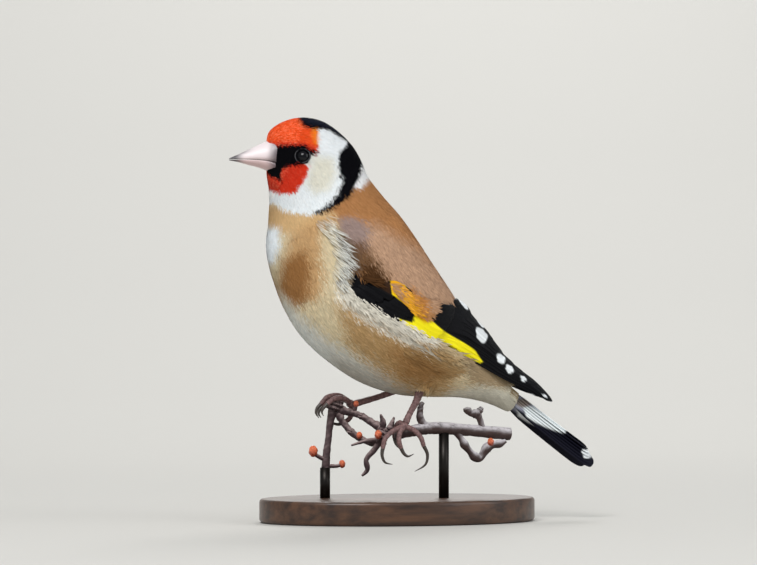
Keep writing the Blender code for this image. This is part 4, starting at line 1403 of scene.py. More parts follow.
class WingForm(Surface):
    """The folded wing as a surface: u runs to the tip and phi down from the top edge."""

    # The phi of the upper edge.
    TOP = 1.1
    # How much higher the far wing's tip is, and from which row it rises.
    RIGHT_RISE = 1.0
    RISE_FROM = 6.0
    LAST_ROW = 11.0
    STEP = 0.02

    def __init__(self, sizes: WingSizes, view: SideView) -> None:
        """Keep the wing's rows and the view the markings are read in."""
        self.rows = np.array(sizes.rows)
        self.view = view

    @staticmethod
    def _weights(b: Numbers) -> np.ndarray:
        """Shares of the lower, middle and upper line at b across the wing."""
        return np.stack([(1 - b) * (1 - 2 * b), 4 * b * (1 - b), b * (2 * b - 1)], -1)

    def _plain(self, a: float, b: float) -> np.ndarray:
        """One place on the left wing."""
        return self._weights(b) @ spline(self.rows, a)[0].reshape(3, 3)

    def at(self, a: float, b: float, lift: float, side: Side) -> Pair:
        """Find one place on a wing.

        Args:
            a: how far along the wing, in rows.
            b: how far across it, from 0 at the lower edge to 1.
            lift: millimetres above it.
            side: which wing.

        Returns:
            The place in millimetres and the outward direction there.
        """
        step = self.STEP
        along = self._plain(min(a + step, self.LAST_ROW), b) - self._plain(a - step, b)
        across = self._plain(a, b + step) - self._plain(a, b - step)
        normal = unit(np.cross(along, across))
        normal = -normal if normal[1] > 0 else normal
        spot = self._plain(a, b) + normal * lift
        if side is Side.RIGHT:
            rise = self.RIGHT_RISE * float(ease(self.RISE_FROM, self.LAST_ROW, a))
            spot = spot + np.array([0.0, 0.0, rise])
        flip = np.array([1.0, float(side.value), 1.0])
        return spot * flip, normal * flip

    def _sheet(self, u: np.ndarray, b: np.ndarray) -> np.ndarray:
        """Left-side places for flat arrays."""
        row = spline(self.rows, u).reshape(-1, 3, 3)
        return np.einsum("ni,nij->nj", self._weights(b), row)

    def place(self, u: Numbers, phi: Numbers, lift: Numbers = 0.0) -> np.ndarray:
        """Places in millimetres on both wings, the right one where phi is negative."""
        u, phi, lift = np.broadcast_arrays(u, phi, lift)
        shape = u.shape
        u, phi, lift = u.ravel(), phi.ravel(), lift.ravel()
        b = self.TOP - np.abs(phi)
        step = self.STEP
        along = self._sheet(u + step, b) - self._sheet(u - step, b)
        across = self._sheet(u, b + step) - self._sheet(u, b - step)
        normal = unit(np.cross(along, across))
        normal = normal * np.where(normal[:, 1] > 0, -1.0, 1.0)[:, None]
        found = self._sheet(u, b) + normal * lift[:, None]
        found[:, 1] *= np.where(phi < 0, -1.0, 1.0)
        return found.reshape(shape + (3,))


class ThighForm(Surface):
    """A feathered thigh: a cone of rows of x, y, z and radius."""

    def __init__(self, rows: tuple, view: SideView) -> None:
        """Keep the rows and find two directions across the cone."""
        self.rows = np.array(rows)
        self.view = view
        ahead = unit(self.rows[-1, :3] - self.rows[0, :3])
        self.first = unit(np.cross(np.array([0.0, 1.0, 0.0]), ahead))
        self.second = np.cross(ahead, self.first)

    def place(self, u: Numbers, phi: Numbers, lift: Numbers = 0.0) -> np.ndarray:
        """Places in millimetres on the cone, never thinner than half a millimetre."""
        u, phi, lift = np.broadcast_arrays(u, phi, lift)
        shape = u.shape
        row = spline(self.rows, u.ravel())
        angle = phi.ravel()[:, None]
        out = self.first * np.cos(angle) + self.second * np.sin(angle)
        radius = np.maximum(row[:, 3] + lift.ravel(), 0.5)[:, None]
        return (row[:, :3] + out * radius).reshape(shape + (3,))


class WingBuilder(VaneBuilder):
    """Both folded wings, tier by tier."""

    TIER_THICK = 0.10
    BED_THICK = 0.5
    # The bed's last row, and how near it comes to the wing's edges.
    BED_END = 8.2
    BED_EDGES = (0.03, 0.97)
    # How deep the roots of the vanes lie.
    ROOT_DEPTH = 0.2

    def __init__(self, finishes: Finishes, marks: WingMarkings, view: SideView,
                 sizes: WingSizes) -> None:
        """Keep the sizes and make the wing's surface."""
        super().__init__(finishes, marks, view)
        self.sizes = sizes
        self.form = WingForm(sizes, view)

    def build(self, side: Side) -> None:
        """Make one wing."""
        node = side.node("wing")
        self._bed(node, side)
        for tier in self.sizes.tiers:
            work = self.start()
            for i in range(tier.count):
                self._feather(work, tier, i, side)
            self.close("%s_%s" % (node, tier.name), work, (node,), self.TIER_THICK)

    def _bed(self, node: str, side: Side) -> None:
        """The closed bed that the feathers stand on."""
        work = self.start()
        made = bmesh.ops.create_grid(work, x_segments=8, y_segments=30, size=1.0)
        colour = work.verts.layers.float_color[COLOUR_LAYER]
        for vert in made["verts"]:
            a = (vert.co.y + 1) / 2 * self.BED_END
            b = between(self.BED_EDGES, (vert.co.x + 1) / 2)
            spot = self.form.at(a, b, 0.0, side)[0]
            seen = self.view.places(spot[None, :])
            vert[colour] = opaque(self.marks.colour(FeatherKind.PRIMARY, *seen)[0])
            vert.co = world(spot)
        self.close(node + "_bed", work, (node,), self.BED_THICK)

    def _feather(self, work: BMesh, tier: Tier, i: int, side: Side) -> None:
        """Add one vane of a tier, which runs from its root to its tip over the wing."""
        root = tier.roots[i]
        tip = tier.tips[i]
        share = i / max(tier.count - 1, 1)
        half = between(tier.half, share)
        lift = between(tier.lift, share)
        line = []
        normals = []
        for t in np.linspace(0.0, 1.0, self.STATIONS):
            a = between((root[0], tip[0]), t)
            b = between((root[1], tip[1]), t ** tier.bend)
            rise = between((-self.ROOT_DEPTH, lift), float(ease(0.0, 0.45, t)))
            spot, normal = self.form.at(a, b, rise, side)
            line.append(spot)
            normals.append(normal)
        covert = tier.kind is FeatherKind.COVERT
        shape = VaneShape(half=half, camber=0.14 if covert else 0.11,
                          along=26 if covert else 70, across=12 if covert else 14)
        shade = 1.0 + 0.10 * math.sin(i * 2.4 + 1.0)
        self.add(work, np.array(line), np.array(normals), shape, tier.kind,
                 (0.70 + 0.01 * i, 0.1 * (1 + side.value)), shade)


@dataclass(frozen=True)
class TailSizes:
    """Six vanes a side, folded into a low roof."""

    pairs: int = 6
    root: tuple = (22.8, 0.5, 37.4)
    root_step: tuple = (0.0, 0.34, -0.42)
    tip: tuple = (49.3, 0.8, 18.0)
    tip_step: tuple = (0.17, 0.38, -0.80)
    half: float = 2.1
    roll: float = math.radians(14.0)
    roll_step: float = math.radians(9.0)
    sag: float = 0.36


class TailBuilder(VaneBuilder):
    """The folded tail."""

    THICK = 0.12
    # Share of a vane's length that is hidden under the coverts.
    HIDDEN = 0.08

    def build(self, sizes: TailSizes) -> None:
        """Make the tail vanes, the outer ones first."""
        work = self.start()
        for side in Side:
            for k in range(sizes.pairs):
                self._feather(work, sizes, k, side)
        self.close("tail_vanes", work, ("tail",), self.THICK)

    def _feather(self, work: BMesh, sizes: TailSizes, k: int, side: Side) -> None:
        """Add one vane, rolled outward and sagging a little."""
        root = np.array(sizes.root) + np.array(sizes.root_step) * k
        tip = np.array(sizes.tip) + np.array(sizes.tip_step) * k
        flip = np.array([1.0, -float(side.value), 1.0])
        root = root * flip
        tip = tip * flip
        along = unit(tip - root)
        up = np.array([0.0, 0.0, 1.0])
        up = unit(up - along * np.dot(up, along))
        out = np.array([0.0, -float(side.value), 0.0])
        roll = sizes.roll + sizes.roll_step * k
        normal = up * math.cos(roll) + out * math.sin(roll)
        line = []
        for t in np.linspace(self.HIDDEN, 1.0, self.STATIONS):
            spot = root + (tip - root) * t
            spot = spot - np.array([0.0, 0.0, sizes.sag * math.sin(math.pi * t)])
            line.append(spot)
        normals = np.repeat(normal[None, :], self.STATIONS, axis=0)
        shape = VaneShape(half=sizes.half, camber=0.08, along=70, across=12, tip=0.7)
        self.add(work, np.array(line), normals, shape, FeatherKind.TAIL,
                 (0.9 + 0.01 * k, 0.3 + 0.1 * side.value), 1.0 + 0.06 * math.sin(k * 2.0))


@dataclass(frozen=True)
class BillSizes:
    """Rows: x, top edge z, mouth z, lower edge z and half width."""

    rows: tuple = (
        (-31.8, 97.4, 90.4, 87.5, 4.0),
        (-33.4, 97.3, 90.9, 87.8, 4.05),
        (-35.0, 97.0, 91.3, 88.5, 3.85),
        (-36.4, 96.5, 91.6, 89.15, 3.4),
        (-38.4, 95.6, 91.8, 89.9, 2.8),
        (-40.8, 94.5, 91.9, 90.5, 2.05),
        (-43.3, 93.3, 91.9, 91.2, 1.2),
        (-44.9, 92.6, 91.9, 91.5, 0.6),
        (-45.8, 92.2, 91.95, 91.7, 0.25),
    )
    slit: float = 0.07
    # The share of the ring that is the outer arch, as the rest closes the mouth.
    arch: float = 0.72
    lower_width: float = 0.94


class BillBuilder(Builder):
    """Upper and lower halves of the bill."""

    ACROSS = 28
    ALONG = 44
    WELD = 2e-6

    def __init__(self, finishes: Finishes, body: BodyForm, sizes: BillSizes,
                 palette: Palette) -> None:
        """Keep the sizes, the tints and the body, with whose head the bill turns."""
        super().__init__(finishes)
        self.body = body
        self.sizes = sizes
        self.palette = palette

    def build(self) -> None:
        """Make both halves."""
        self._half("bill_upper", 1.0)
        self._half("bill_lower", -1.0)

    def _half(self, name: str, up: float) -> None:
        """Make one half from a grid rolled round it.

        Args:
            name: the piece and the node it replaces.
            up: 1 for the upper half and -1 for the lower one.
        """
        sizes = self.sizes
        rows = np.array(sizes.rows)
        work = bmesh.new()
        colour = work.verts.layers.float_color.new(COLOUR_LAYER)
        made = bmesh.ops.create_grid(work, x_segments=self.ACROSS, y_segments=self.ALONG,
                                     size=1.0)
        for vert in made["verts"]:
            turn = (vert.co.x + 1) / 2
            s = (vert.co.y + 1) / 2 * (len(rows) - 1)
            x, top, mouth, low, wide = spline(rows, s)[0]
            floor = mouth + sizes.slit * up
            peak = top if up > 0 else low
            width = wide * (1.0 if up > 0 else sizes.lower_width)
            if turn < sizes.arch:
                angle = math.pi * turn / sizes.arch
                flat = 0.85 - 0.40 * float(ease(3.5, 0.5, s))
                bulge = math.sin(angle) ** flat
                spot = np.array([x, -width * math.cos(angle), floor + (peak - floor) * bulge])
            else:
                back = (turn - sizes.arch) / (1.0 - sizes.arch)
                spot = np.array([x, width * (1 - 2 * back), floor])
            vert[colour] = self._tint(spot, mouth, top)
            vert.co = world(self.body.turned(spot[None, :], np.zeros(1))[0])
        self.seal(work, self.WELD)
        self.from_bmesh(name, work, "bill", (name,), "bill")

    def _tint(self, spot: np.ndarray, mouth: float,
              top: float) -> tuple[float, float, float, float]:
        """Ivory with a painted highlight on top and a pink blush below, a dusky tip and ridge,
        and a grey-mauve base in painted shadow.

        Args:
            spot: the place before the head is turned.
            mouth: the mouth's z there.
            top: the top edge's z there.

        Returns:
            The linear colour with its alpha.
        """
        p = self.palette
        height = (spot[2] - mouth) / max(top - mouth, 0.1)
        # Painted highlight: the ivory is strongest on the upper part, where the light falls, and
        # the lower part blushes pink.
        blush = 1.0 - float(ease(-0.3, 0.45, height))
        found = linear(p.bill_ivory) * (1 - 0.75 * blush) + linear(p.bill_pink) * 0.75 * blush
        tip = float(ease(-41.6, -44.6, spot[0]))
        ridge = float(ease(-39.0, -43.0, spot[0])) * float(ease(0.55, 0.95, height)) * 0.6
        # Painted shadow: the base turns dark grey-mauve where the face feathers shade it.
        base = float(ease(-37.4, -34.6, spot[0] - 1.2 * abs(height)))
        dark = max(tip, ridge) * 0.9
        found = found * (1 - dark) + linear(p.bill_dusk) * dark
        found = found * (1 - 0.85 * base) + linear(p.bill_base) * 0.85 * base
        return opaque(found)


class EyeBuilder(Builder):
    """Eyes, each with a ring of lid."""

    def __init__(self, finishes: Finishes, body: BodyForm, sizes: EyeSizes) -> None:
        """Keep the sizes and the body the eyes sit in."""
        super().__init__(finishes)
        self.body = body
        self.sizes = sizes

    def build(self, side: Side) -> None:
        """Make one eye."""
        sizes = self.sizes
        phi = sizes.phi * side.value
        axis = self.body.normal(np.array([sizes.u]), np.array([phi]))[0]
        centre = self.body.place(np.array([sizes.u]), np.array([phi]))[0]
        centre = centre - axis * sizes.depth
        across = unit(np.cross(np.array([0.0, 0.0, 1.0]), axis))
        upright = unit(np.cross(axis, across))
        turn = Matrix((across, upright, axis)).transposed().to_4x4()
        place = Matrix.Translation(Vector(world(centre))) @ turn
        label = side.node("eye")
        work = bmesh.new()
        bmesh.ops.create_uvsphere(work, u_segments=48, v_segments=32,
                                  radius=sizes.radius * MM)
        bmesh.ops.transform(work, matrix=place, verts=work.verts)
        self.from_bmesh(label, work, "eye", (label,), "eye")
        self._lid(label + "_lid", place)

    def _lid(self, name: str, place: Matrix) -> None:
        """A bare ring of lid with a slight fold."""
        sizes = self.sizes
        reach = math.sqrt((sizes.radius + sizes.lid_gap) ** 2 - sizes.lid_radius ** 2)
        work = bmesh.new()
        start = bmesh.ops.create_circle(work, segments=10, radius=sizes.lid_tube * MM)
        turn = Matrix.Rotation(math.pi / 2, 4, "X")
        shift = Matrix.Translation(Vector((sizes.lid_radius * MM, 0.0, reach * MM)))
        bmesh.ops.transform(work, matrix=shift @ turn, verts=start["verts"])
        bmesh.ops.spin(work, geom=list(work.edges), cent=(0, 0, 0), axis=(0, 0, 1),
                       dvec=(0, 0, 0), angle=math.tau, steps=72)
        bmesh.ops.remove_doubles(work, verts=work.verts, dist=1e-6)
        for vert in work.verts:
            angle = math.atan2(vert.co.y, vert.co.x)
            ripple = 1.0 + sizes.lid_fold * math.sin(angle * sizes.lid_folds)
            vert.co.x *= sizes.lid_oval * ripple
            vert.co.y *= ripple
        bmesh.ops.transform(work, matrix=place, verts=work.verts)
        bmesh.ops.recalc_face_normals(work, faces=work.faces)
        self.from_bmesh(name, work, "lid", ("head",), "leg_skin")


@dataclass(frozen=True)
class LegSizes:
    """Rows of x, y, z and radius for thigh and shank; toes and claws as places."""

    thigh_left: tuple = ((5.0, -7.6, 39.5, 4.2), (2.4, -7.0, 34.0, 3.0),
                         (0.9, -6.6, 30.9, 1.5))
    thigh_right: tuple = ((4.6, 7.6, 40.0, 4.2), (2.0, 7.0, 35.4, 3.0),
                          (-0.6, 6.6, 33.2, 1.5))
    shank_left: tuple = ((1.9, -6.6, 33.4, 1.15), (0.76, -6.56, 30.5, 0.95),
                         (-0.8, -6.6, 27.8, 0.80), (-2.1, -6.9, 25.3, 0.95))
    shank_right: tuple = ((1.0, 6.6, 34.2, 1.15), (-1.0, 6.55, 32.95, 0.95),
                          (-5.2, 6.3, 31.5, 0.80), (-12.2, 5.6, 29.7, 0.95))
    palm_left: tuple = (-2.5, -7.2, 24.4)
    palm_right: tuple = (-12.9, 5.5, 29.9)
    toes_left: tuple = (
        ((-2.5, -7.2, 24.4), (-4.0, -8.2, 23.0), (-4.5, -8.7, 20.8), (-3.9, -8.6, 18.9)),
        ((-2.5, -7.2, 24.4), (-5.2, -8.0, 23.6), (-7.9, -8.4, 21.6), (-8.7, -8.3, 18.8)),
        ((-2.5, -7.2, 24.4), (-3.0, -4.8, 25.2), (-3.6, -2.7, 23.8), (-3.6, -2.3, 21.4)),
        ((-2.5, -7.2, 24.4), (-0.4, -8.2, 23.4), (1.3, -8.6, 21.6), (2.2, -8.4, 19.4)),
    )
    claws_left: tuple = (
        ((-3.9, -8.6, 18.9), (-3.1, -8.5, 17.5), (-1.9, -8.3, 16.8), (-0.3, -8.1, 17.4)),
        ((-8.7, -8.3, 18.8), (-8.8, -8.2, 17.0), (-7.9, -8.0, 15.3), (-5.9, -7.8, 14.8)),
        ((-3.6, -2.3, 21.4), (-3.3, -2.7, 19.9), (-2.7, -3.6, 18.9), (-2.2, -4.6, 18.8)),
        ((2.2, -8.4, 19.4), (3.3, -8.1, 17.2), (2.9, -7.6, 14.6), (0.2, -7.2, 12.9)),
    )
    toes_right: tuple = (
        ((-12.9, 5.5, 29.9), (-15.0, 3.6, 31.2), (-18.1, 2.4, 31.3), (-20.1, 2.1, 29.9)),
        ((-12.9, 5.5, 29.9), (-15.8, 5.0, 31.9), (-19.1, 4.7, 31.7), (-21.1, 4.5, 29.8)),
        ((-12.9, 5.5, 29.9), (-15.0, 6.8, 31.3), (-18.0, 7.3, 30.8), (-19.8, 7.2, 29.2)),
        ((-12.9, 5.5, 29.9), (-12.2, 5.9, 27.9), (-12.9, 6.4, 26.0), (-14.4, 6.8, 25.0)),
    )
    claws_right: tuple = (
        ((-20.1, 2.1, 29.9), (-21.0, 2.0, 29.1), (-21.6, 2.0, 28.0), (-21.1, 2.1, 26.9)),
        ((-21.1, 4.5, 29.8), (-22.1, 4.4, 28.8), (-22.4, 4.3, 27.5), (-21.6, 4.3, 26.3)),
        ((-19.8, 7.2, 29.2), (-20.6, 7.1, 28.3), (-20.9, 6.9, 27.3), (-20.3, 6.7, 26.3)),
        ((-14.4, 6.8, 25.0), (-15.7, 6.9, 24.6), (-17.2, 6.9, 25.0), (-18.4, 6.8, 26.1)),
    )
    palm: float = 1.08
    toe: tuple = (0.735, 0.70, 0.665, 0.595)
    claw: tuple = (0.525, 0.425, 0.29, 0.07)
    shank_scales: int = 9
    toe_scales: int = 7


class TubeBuilder(Builder):
    """Limbs swept along smooth lines."""

    LEAST_RADIUS = 0.03
    # Share of the radius by which each scale narrows towards its end.
    SCALE_TAPER = 0.10

    def sweep(self, work: BMesh, rows: tuple, steps: int, sides: int,
              bump: float = 0.0, rings: float = 0.0, seed: float = 0.0) -> None:
        """Sweep a ring along rows of x, y, z and radius.

        Args:
            work: the bmesh that gets the limb.
            rows: places and radii in millimetres.
            steps: how many rings in all.
            sides: corners of the ring.
            bump: share of the radius by which it is uneven.
            rings: how many scales run along it.
            seed: where the unevenness starts.
        """
        rows = np.array(rows, dtype=float)
        s = np.linspace(0.0, len(rows) - 1.0, steps)
        line = spline(rows, s)
        places = line[:, :3]
        along = unit(np.gradient(places, axis=0))
        across = np.array([0.0, 1.0, 0.0])
        made = bmesh.ops.create_circle(work, segments=sides, radius=1.0, cap_ends=True)
        ring = made["verts"]
        edges = [edge for edge in work.edges
                 if edge.verts[0] in set(ring) and edge.verts[1] in set(ring)]
        for i in range(steps):
            across = unit(across - along[i] * np.dot(across, along[i]))
            up = np.cross(along[i], across)
            radius = max(line[i, 3], self.LEAST_RADIUS)
            if rings:
                phase = (i / (steps - 1) * rings) % 1.0
                radius *= 1.0 - self.SCALE_TAPER * phase
            if i:
                extruded = bmesh.ops.extrude_edge_only(work, edges=edges)
                fresh = [item for item in extruded["geom"]
                         if isinstance(item, BMVert)]
                edges = [item for item in extruded["geom"]
                         if isinstance(item, BMEdge)
                         and item.verts[0] in set(fresh) and item.verts[1] in set(fresh)]
                ring = self._ordered(fresh, ring)
            for k, vert in enumerate(ring):
                angle = math.tau * k / sides
                knot = math.sin(i * 0.29 + seed * 3.1) * math.sin(i * 0.17 + 1.7 * seed)
                ridge = math.sin(3 * angle + seed + 2.2 * math.sin(i * 0.23 + seed))
                fine = math.sin(7 * angle + 3 * i) * math.sin(5 * angle - 2.3 * i)
                wobble = 1.0 + bump * (0.45 * knot + 0.3 * ridge + 0.3 * fine)
                offset = across * math.cos(angle) + up * math.sin(angle)
                vert.co = world(places[i] + offset * radius * wobble)
        bmesh.ops.holes_fill(work, edges=edges, sides=0)

    @staticmethod
    def _ordered(fresh: list, old: list) -> list:
        """New ring corners in the order of the old ones."""
        found = []
        fresh_set = set(fresh)
        for vert in old:
            for edge in vert.link_edges:
                other = edge.other_vert(vert)
                if other in fresh_set:
                    found.append(other)
                    break
        return found


class LegBuilder(TubeBuilder):
    """Legs and feet."""

    def __init__(self, finishes: Finishes, sizes: LegSizes) -> None:
        """Keep the sizes."""
        super().__init__(finishes)
        self.sizes = sizes

    def build(self) -> None:
        """Make both legs."""
        sizes = self.sizes
        for side in Side:
            node = side.node("leg")
            work = bmesh.new()
            shank = getattr(sizes, side.node("shank"))
            self.sweep(work, shank, 46, 16, rings=sizes.shank_scales)
            self._close(node + "_shank", work, "leg", (node + "_shank",))
            work = bmesh.new()
            made = bmesh.ops.create_uvsphere(work, u_segments=20, v_segments=14,
                                             radius=sizes.palm * MM)
            palm = np.array(getattr(sizes, side.node("palm")))
            bmesh.ops.transform(work, matrix=Matrix.Translation(Vector(world(palm))),
                                verts=made["verts"])
            for toe in getattr(sizes, side.node("toes")):
                self.sweep(work, self._rows(toe, sizes.toe), 40, 14, rings=sizes.toe_scales)
            self._close(node + "_toes", work, "leg", (node + "_foot",))
            work = bmesh.new()
            for claw in getattr(sizes, side.node("claws")):
                self.sweep(work, self._rows(claw, sizes.claw), 22, 12)
            self._close(node + "_claws", work, "claw", (node + "_foot",))

    @staticmethod
    def _rows(places: tuple, radii: tuple) -> list:
        """Rows of x, y, z and radius from places and their radii."""
        return [tuple(place) + (radius,) for place, radius in zip(places, radii)]

    def _close(self, name: str, work: BMesh, finish: str, nodes: tuple) -> None:
        """Turn the faces outward and hand the piece over."""
        bmesh.ops.recalc_face_normals(work, faces=work.faces)
        self.from_bmesh(name, work, finish, nodes, "leg_skin")


@dataclass(frozen=True)
class PerchSizes:
    """The cut twig: x, y, z and radius along each limb."""

    stem: tuple = ((-17.9, 4.5, 28.2, 1.2), (-18.6, 4.3, 25.2, 0.95),
                   (-19.2, 4.1, 21.0, 0.85), (-19.7, 3.9, 17.4, 0.95),
                   (-20.1, 3.7, 13.6, 1.05))
    stem_buds: tuple = (
        ((-19.6, 3.9, 15.4), (-22.6, 3.6, 16.9), (-23.4, 3.5, 17.9), 1.25),
        ((-19.9, 3.8, 14.2), (-17.2, 3.4, 14.1), (-15.8, 3.2, 14.6), 0.9),
    )
    knot: tuple = (-17.3, 4.6, 29.4)
    knot_r: tuple = (2.7, 2.9, 2.0)
    limbs: tuple = (
        ((-16.4, 4.0, 28.4, 1.2), (-13.4, 2.6, 27.6, 0.9), (-11.4, 0.6, 26.8, 0.8),
         (-9.4, -2.0, 25.2, 0.95), (-7.6, -4.2, 23.8, 1.4)),
        ((-16.6, 4.2, 27.6, 1.2), (-15.6, 2.9, 25.2, 0.85), (-14.0, 1.6, 22.9, 0.85),
         (-11.6, -0.6, 20.9, 0.8), (-9.2, -2.6, 20.0, 0.9), (-7.4, -4.4, 21.0, 1.5)),
    )
    spurs: tuple = (
        ((-7.6, -4.4, 23.4, 0.95), (-7.5, -4.9, 25.4, 0.75), (-8.2, -5.0, 27.4, 0.25)),
        ((-5.8, -4.7, 23.4, 0.9), (-4.9, -4.4, 25.2, 0.6), (-4.3, -4.1, 26.6, 0.25)),
        ((-8.0, -4.0, 20.6, 1.0), (-9.2, -3.6, 18.6, 0.75), (-11.4, -3.4, 16.0, 0.7),
         (-11.2, -3.4, 13.4, 0.65), (-12.6, -3.4, 11.8, 0.3)),
        ((-8.6, -3.6, 20.8, 0.9), (-12.0, -4.2, 20.6, 0.5), (-15.8, -4.6, 19.6, 0.25)),
    )
    cluster: tuple = (-7.5, -4.4, 22.2)
    cluster_r: tuple = (2.0, 1.7, 2.2)
    fork_buds: tuple = (
        ((-8.4, -4.6, 22.0), (-9.0, -5.6, 22.2), (-9.2, -6.2, 22.3), 1.0),
        ((-12.6, 0.2, 21.6), (-12.6, -0.6, 21.9), (-12.6, -1.2, 22.0), 0.8),
        ((-13.0, 2.4, 27.6), (-12.6, 2.0, 29.0), (-12.5, 1.8, 29.9), 0.75),
    )
    branch: tuple = ((-4.4, -5.2, 22.4, 1.45), (-1.4, -5.5, 22.8, 1.35),
                     (2.4, -5.4, 23.5, 1.55), (6.8, -5.0, 23.8, 1.55),
                     (13.4, -4.5, 23.3, 1.5), (20.2, -4.0, 22.7, 1.55),
                     (27.0, -3.5, 22.0, 1.6))
    branch_spurs: tuple = (
        ((3.6, -5.2, 23.6, 1.25), (2.3, -5.2, 26.6, 0.95), (2.5, -5.2, 29.4, 0.7),
         (3.2, -5.2, 30.3, 0.4)),
        ((12.4, -4.6, 22.6, 1.1), (13.4, -5.0, 20.9, 0.8), (14.3, -5.3, 19.4, 1.15),
         (15.6, -5.4, 17.8, 0.85), (17.0, -5.2, 16.4, 1.25), (18.5, -5.0, 15.9, 0.9),
         (19.4, -4.9, 17.2, 0.95), (20.6, -4.8, 18.7, 1.3), (22.2, -4.7, 19.4, 0.95),
         (24.0, -4.5, 19.6, 1.0), (25.6, -4.4, 20.3, 0.6)),
        ((19.4, -4.2, 23.6, 0.9), (18.7, -4.0, 26.0, 0.8), (17.8, -3.9, 27.2, 1.2),
         (16.4, -3.9, 27.4, 0.8), (15.4, -3.8, 28.4, 1.05), (15.2, -3.8, 28.9, 0.5)),
        ((17.8, -3.9, 26.8, 0.7), (18.9, -3.9, 28.2, 0.85), (19.4, -3.9, 28.9, 0.5)),
    )
    branch_buds: tuple = (
        ((20.6, -4.8, 18.9), (21.0, -5.4, 19.7), (21.1, -5.8, 20.1), 0.9),
    )


class PerchBuilder(TubeBuilder):
    """The cut twig with its buds, spurs and crusty knot."""

    # Radii of a bud's stalk, and how a bud is stretched along x, y and z.
    STALK = (0.6, 0.5, 0.4)
    BUD_STRETCH = (0.92, 0.95, 1.12)
    # The lump where each limb forks, and how rough each lump is.
    FORK_LUMP = (1.2, 1.2, 1.0)
    FORK_ROUGH = 0.3
    CLUSTER_ROUGH = 0.34
    KNOT_ROUGH = 0.36

    def __init__(self, finishes: Finishes, sizes: PerchSizes, palette: Palette) -> None:
        """Keep the sizes and the tints."""
        super().__init__(finishes)
        self.sizes = sizes
        self.palette = palette

    def build(self) -> None:
        """Make every limb of the twig."""
        sizes = self.sizes
        work = self._start()
        self.sweep(work, sizes.stem, 70, 18, bump=0.10)
        self._close("perch_stem_bark", work, "bark", ("perch_stem",))
        self._buds("perch_stem_buds", sizes.stem_buds, ("perch_stem",))
        work = self._start()
        for i, rows in enumerate(sizes.limbs):
            self.sweep(work, rows, 90, 18, bump=0.22, seed=i)
            self._lump(work, rows[2][:3], self.FORK_LUMP, self.FORK_ROUGH)
        for i, rows in enumerate(sizes.spurs):
            self.sweep(work, rows, 36, 12, bump=0.20, seed=i + 3)
        self._lump(work, sizes.cluster, sizes.cluster_r, self.CLUSTER_ROUGH)
        self._close("perch_fork_bark", work, "bark", ("perch_fork",))
        work = self._start()
        self._lump(work, sizes.knot, sizes.knot_r, self.KNOT_ROUGH)
        self._close("perch_knot_bark", work, "bark_pale", ("perch_fork",))
        self._buds("perch_fork_buds", sizes.fork_buds, ("perch_fork",))
        work = self._start()
        self.sweep(work, sizes.branch, 140, 22, bump=0.08, seed=2.0)
        for i, rows in enumerate(sizes.branch_spurs):
            self.sweep(work, rows, 60, 14, bump=0.14, seed=i)
        self._close("perch_branch_bark", work, "bark", ("perch_branch",))
        self._buds("perch_branch_buds", sizes.branch_buds, ("perch_branch",))

    @staticmethod
    def _start() -> BMesh:
        """A bmesh with the layer for the bark's tints."""
        work = bmesh.new()
        work.verts.layers.float_color.new(COLOUR_LAYER)
        return work

    def _lump(self, work: BMesh, centre: tuple, radii: tuple, rough: float) -> None:
        """Add a knobbly lump of bark.

        Args:
            work: the bmesh that gets it.
            centre: its middle in millimetres.
            radii: its size along x, y and z.
            rough: share of the size by which it is uneven.
        """
        made = bmesh.ops.create_icosphere(work, subdivisions=5, radius=1.0)
        middle = np.array(centre)
        for vert in made["verts"]:
            x, y, z = vert.co
            wave = math.sin(7 * x + 2 * y) * math.sin(6 * y - 3 * z) + math.sin(9 * z + 4 * x)
            fine = math.sin(17 * x - 11 * z) * math.sin(15 * y + 13 * z)
            grow = 1.0 - rough * 0.5 + rough * (0.25 * wave + 0.16 * fine)
            offset = np.array([x * radii[0], y * radii[1], z * radii[2]]) * grow
            vert.co = world(middle + offset)

    def _buds(self, name: str, buds: tuple, nodes: tuple) -> None:
        """Round buds of overlapping scales on short bark stalks."""
        work = self._start()
        colour = work.verts.layers.float_color[COLOUR_LAYER]
        lit_orange = linear(self.palette.bud_lit_orange)
        shaded_red = linear(self.palette.bud_dull)
        for start, end, bud, radius in buds:
            rows = tuple(place + (thick,)
                         for place, thick in zip((start, end, bud), self.STALK))
            self.sweep(work, rows, 12, 10, bump=0.1)
            made = bmesh.ops.create_uvsphere(work, u_segments=24, v_segments=18, radius=1.0)
            middle = np.array(bud)
            for vert in made["verts"]:
                angle = math.atan2(vert.co.y, vert.co.x)
                scale = 1.0 + 0.09 * math.cos(5 * angle + 7 * vert.co.z)
                # Painted light: the bud's top gets the lit orange and its underside the shaded
                # red; raised scales are lighter than the hollows, partly painted highlight and
                # partly real darker scale edges.
                share = 0.25 + 0.65 * float(ease(-0.7, 0.5, vert.co.z))
                share = share + 0.8 * (scale - 1.0)
                tint = shaded_red * (1 - share) + lit_orange * share
                vert[colour] = opaque(tint)
                offset = np.array(vert.co) * np.array(self.BUD_STRETCH) * radius * 0.97
                vert.co = world(middle + offset * scale)
        self._close(name, work, "bud", nodes)

    def _close(self, name: str, work: BMesh, finish: str, nodes: tuple) -> None:
        """Tint the bark, with painted light on top and painted shade below, paler to the right,
        and hand the piece over.
        """
        bmesh.ops.recalc_face_normals(work, faces=work.faces)
        work.normal_update()
        colour = work.verts.layers.float_color[COLOUR_LAYER]
        p = self.palette
        left_lit, left_shaded = linear(p.bark_left_top), linear(p.bark_left_low)
        right_lit, right_shaded = linear(p.bark_right_top), linear(p.bark_right_low)
        for vert in work.verts:
            # A corner that is still plain white has no tint of its own yet.
            if vert[colour][1] < 0.999:
                continue
            right = float(ease(-4.0, 0.5, vert.co.x / MM - SHIFT_X))
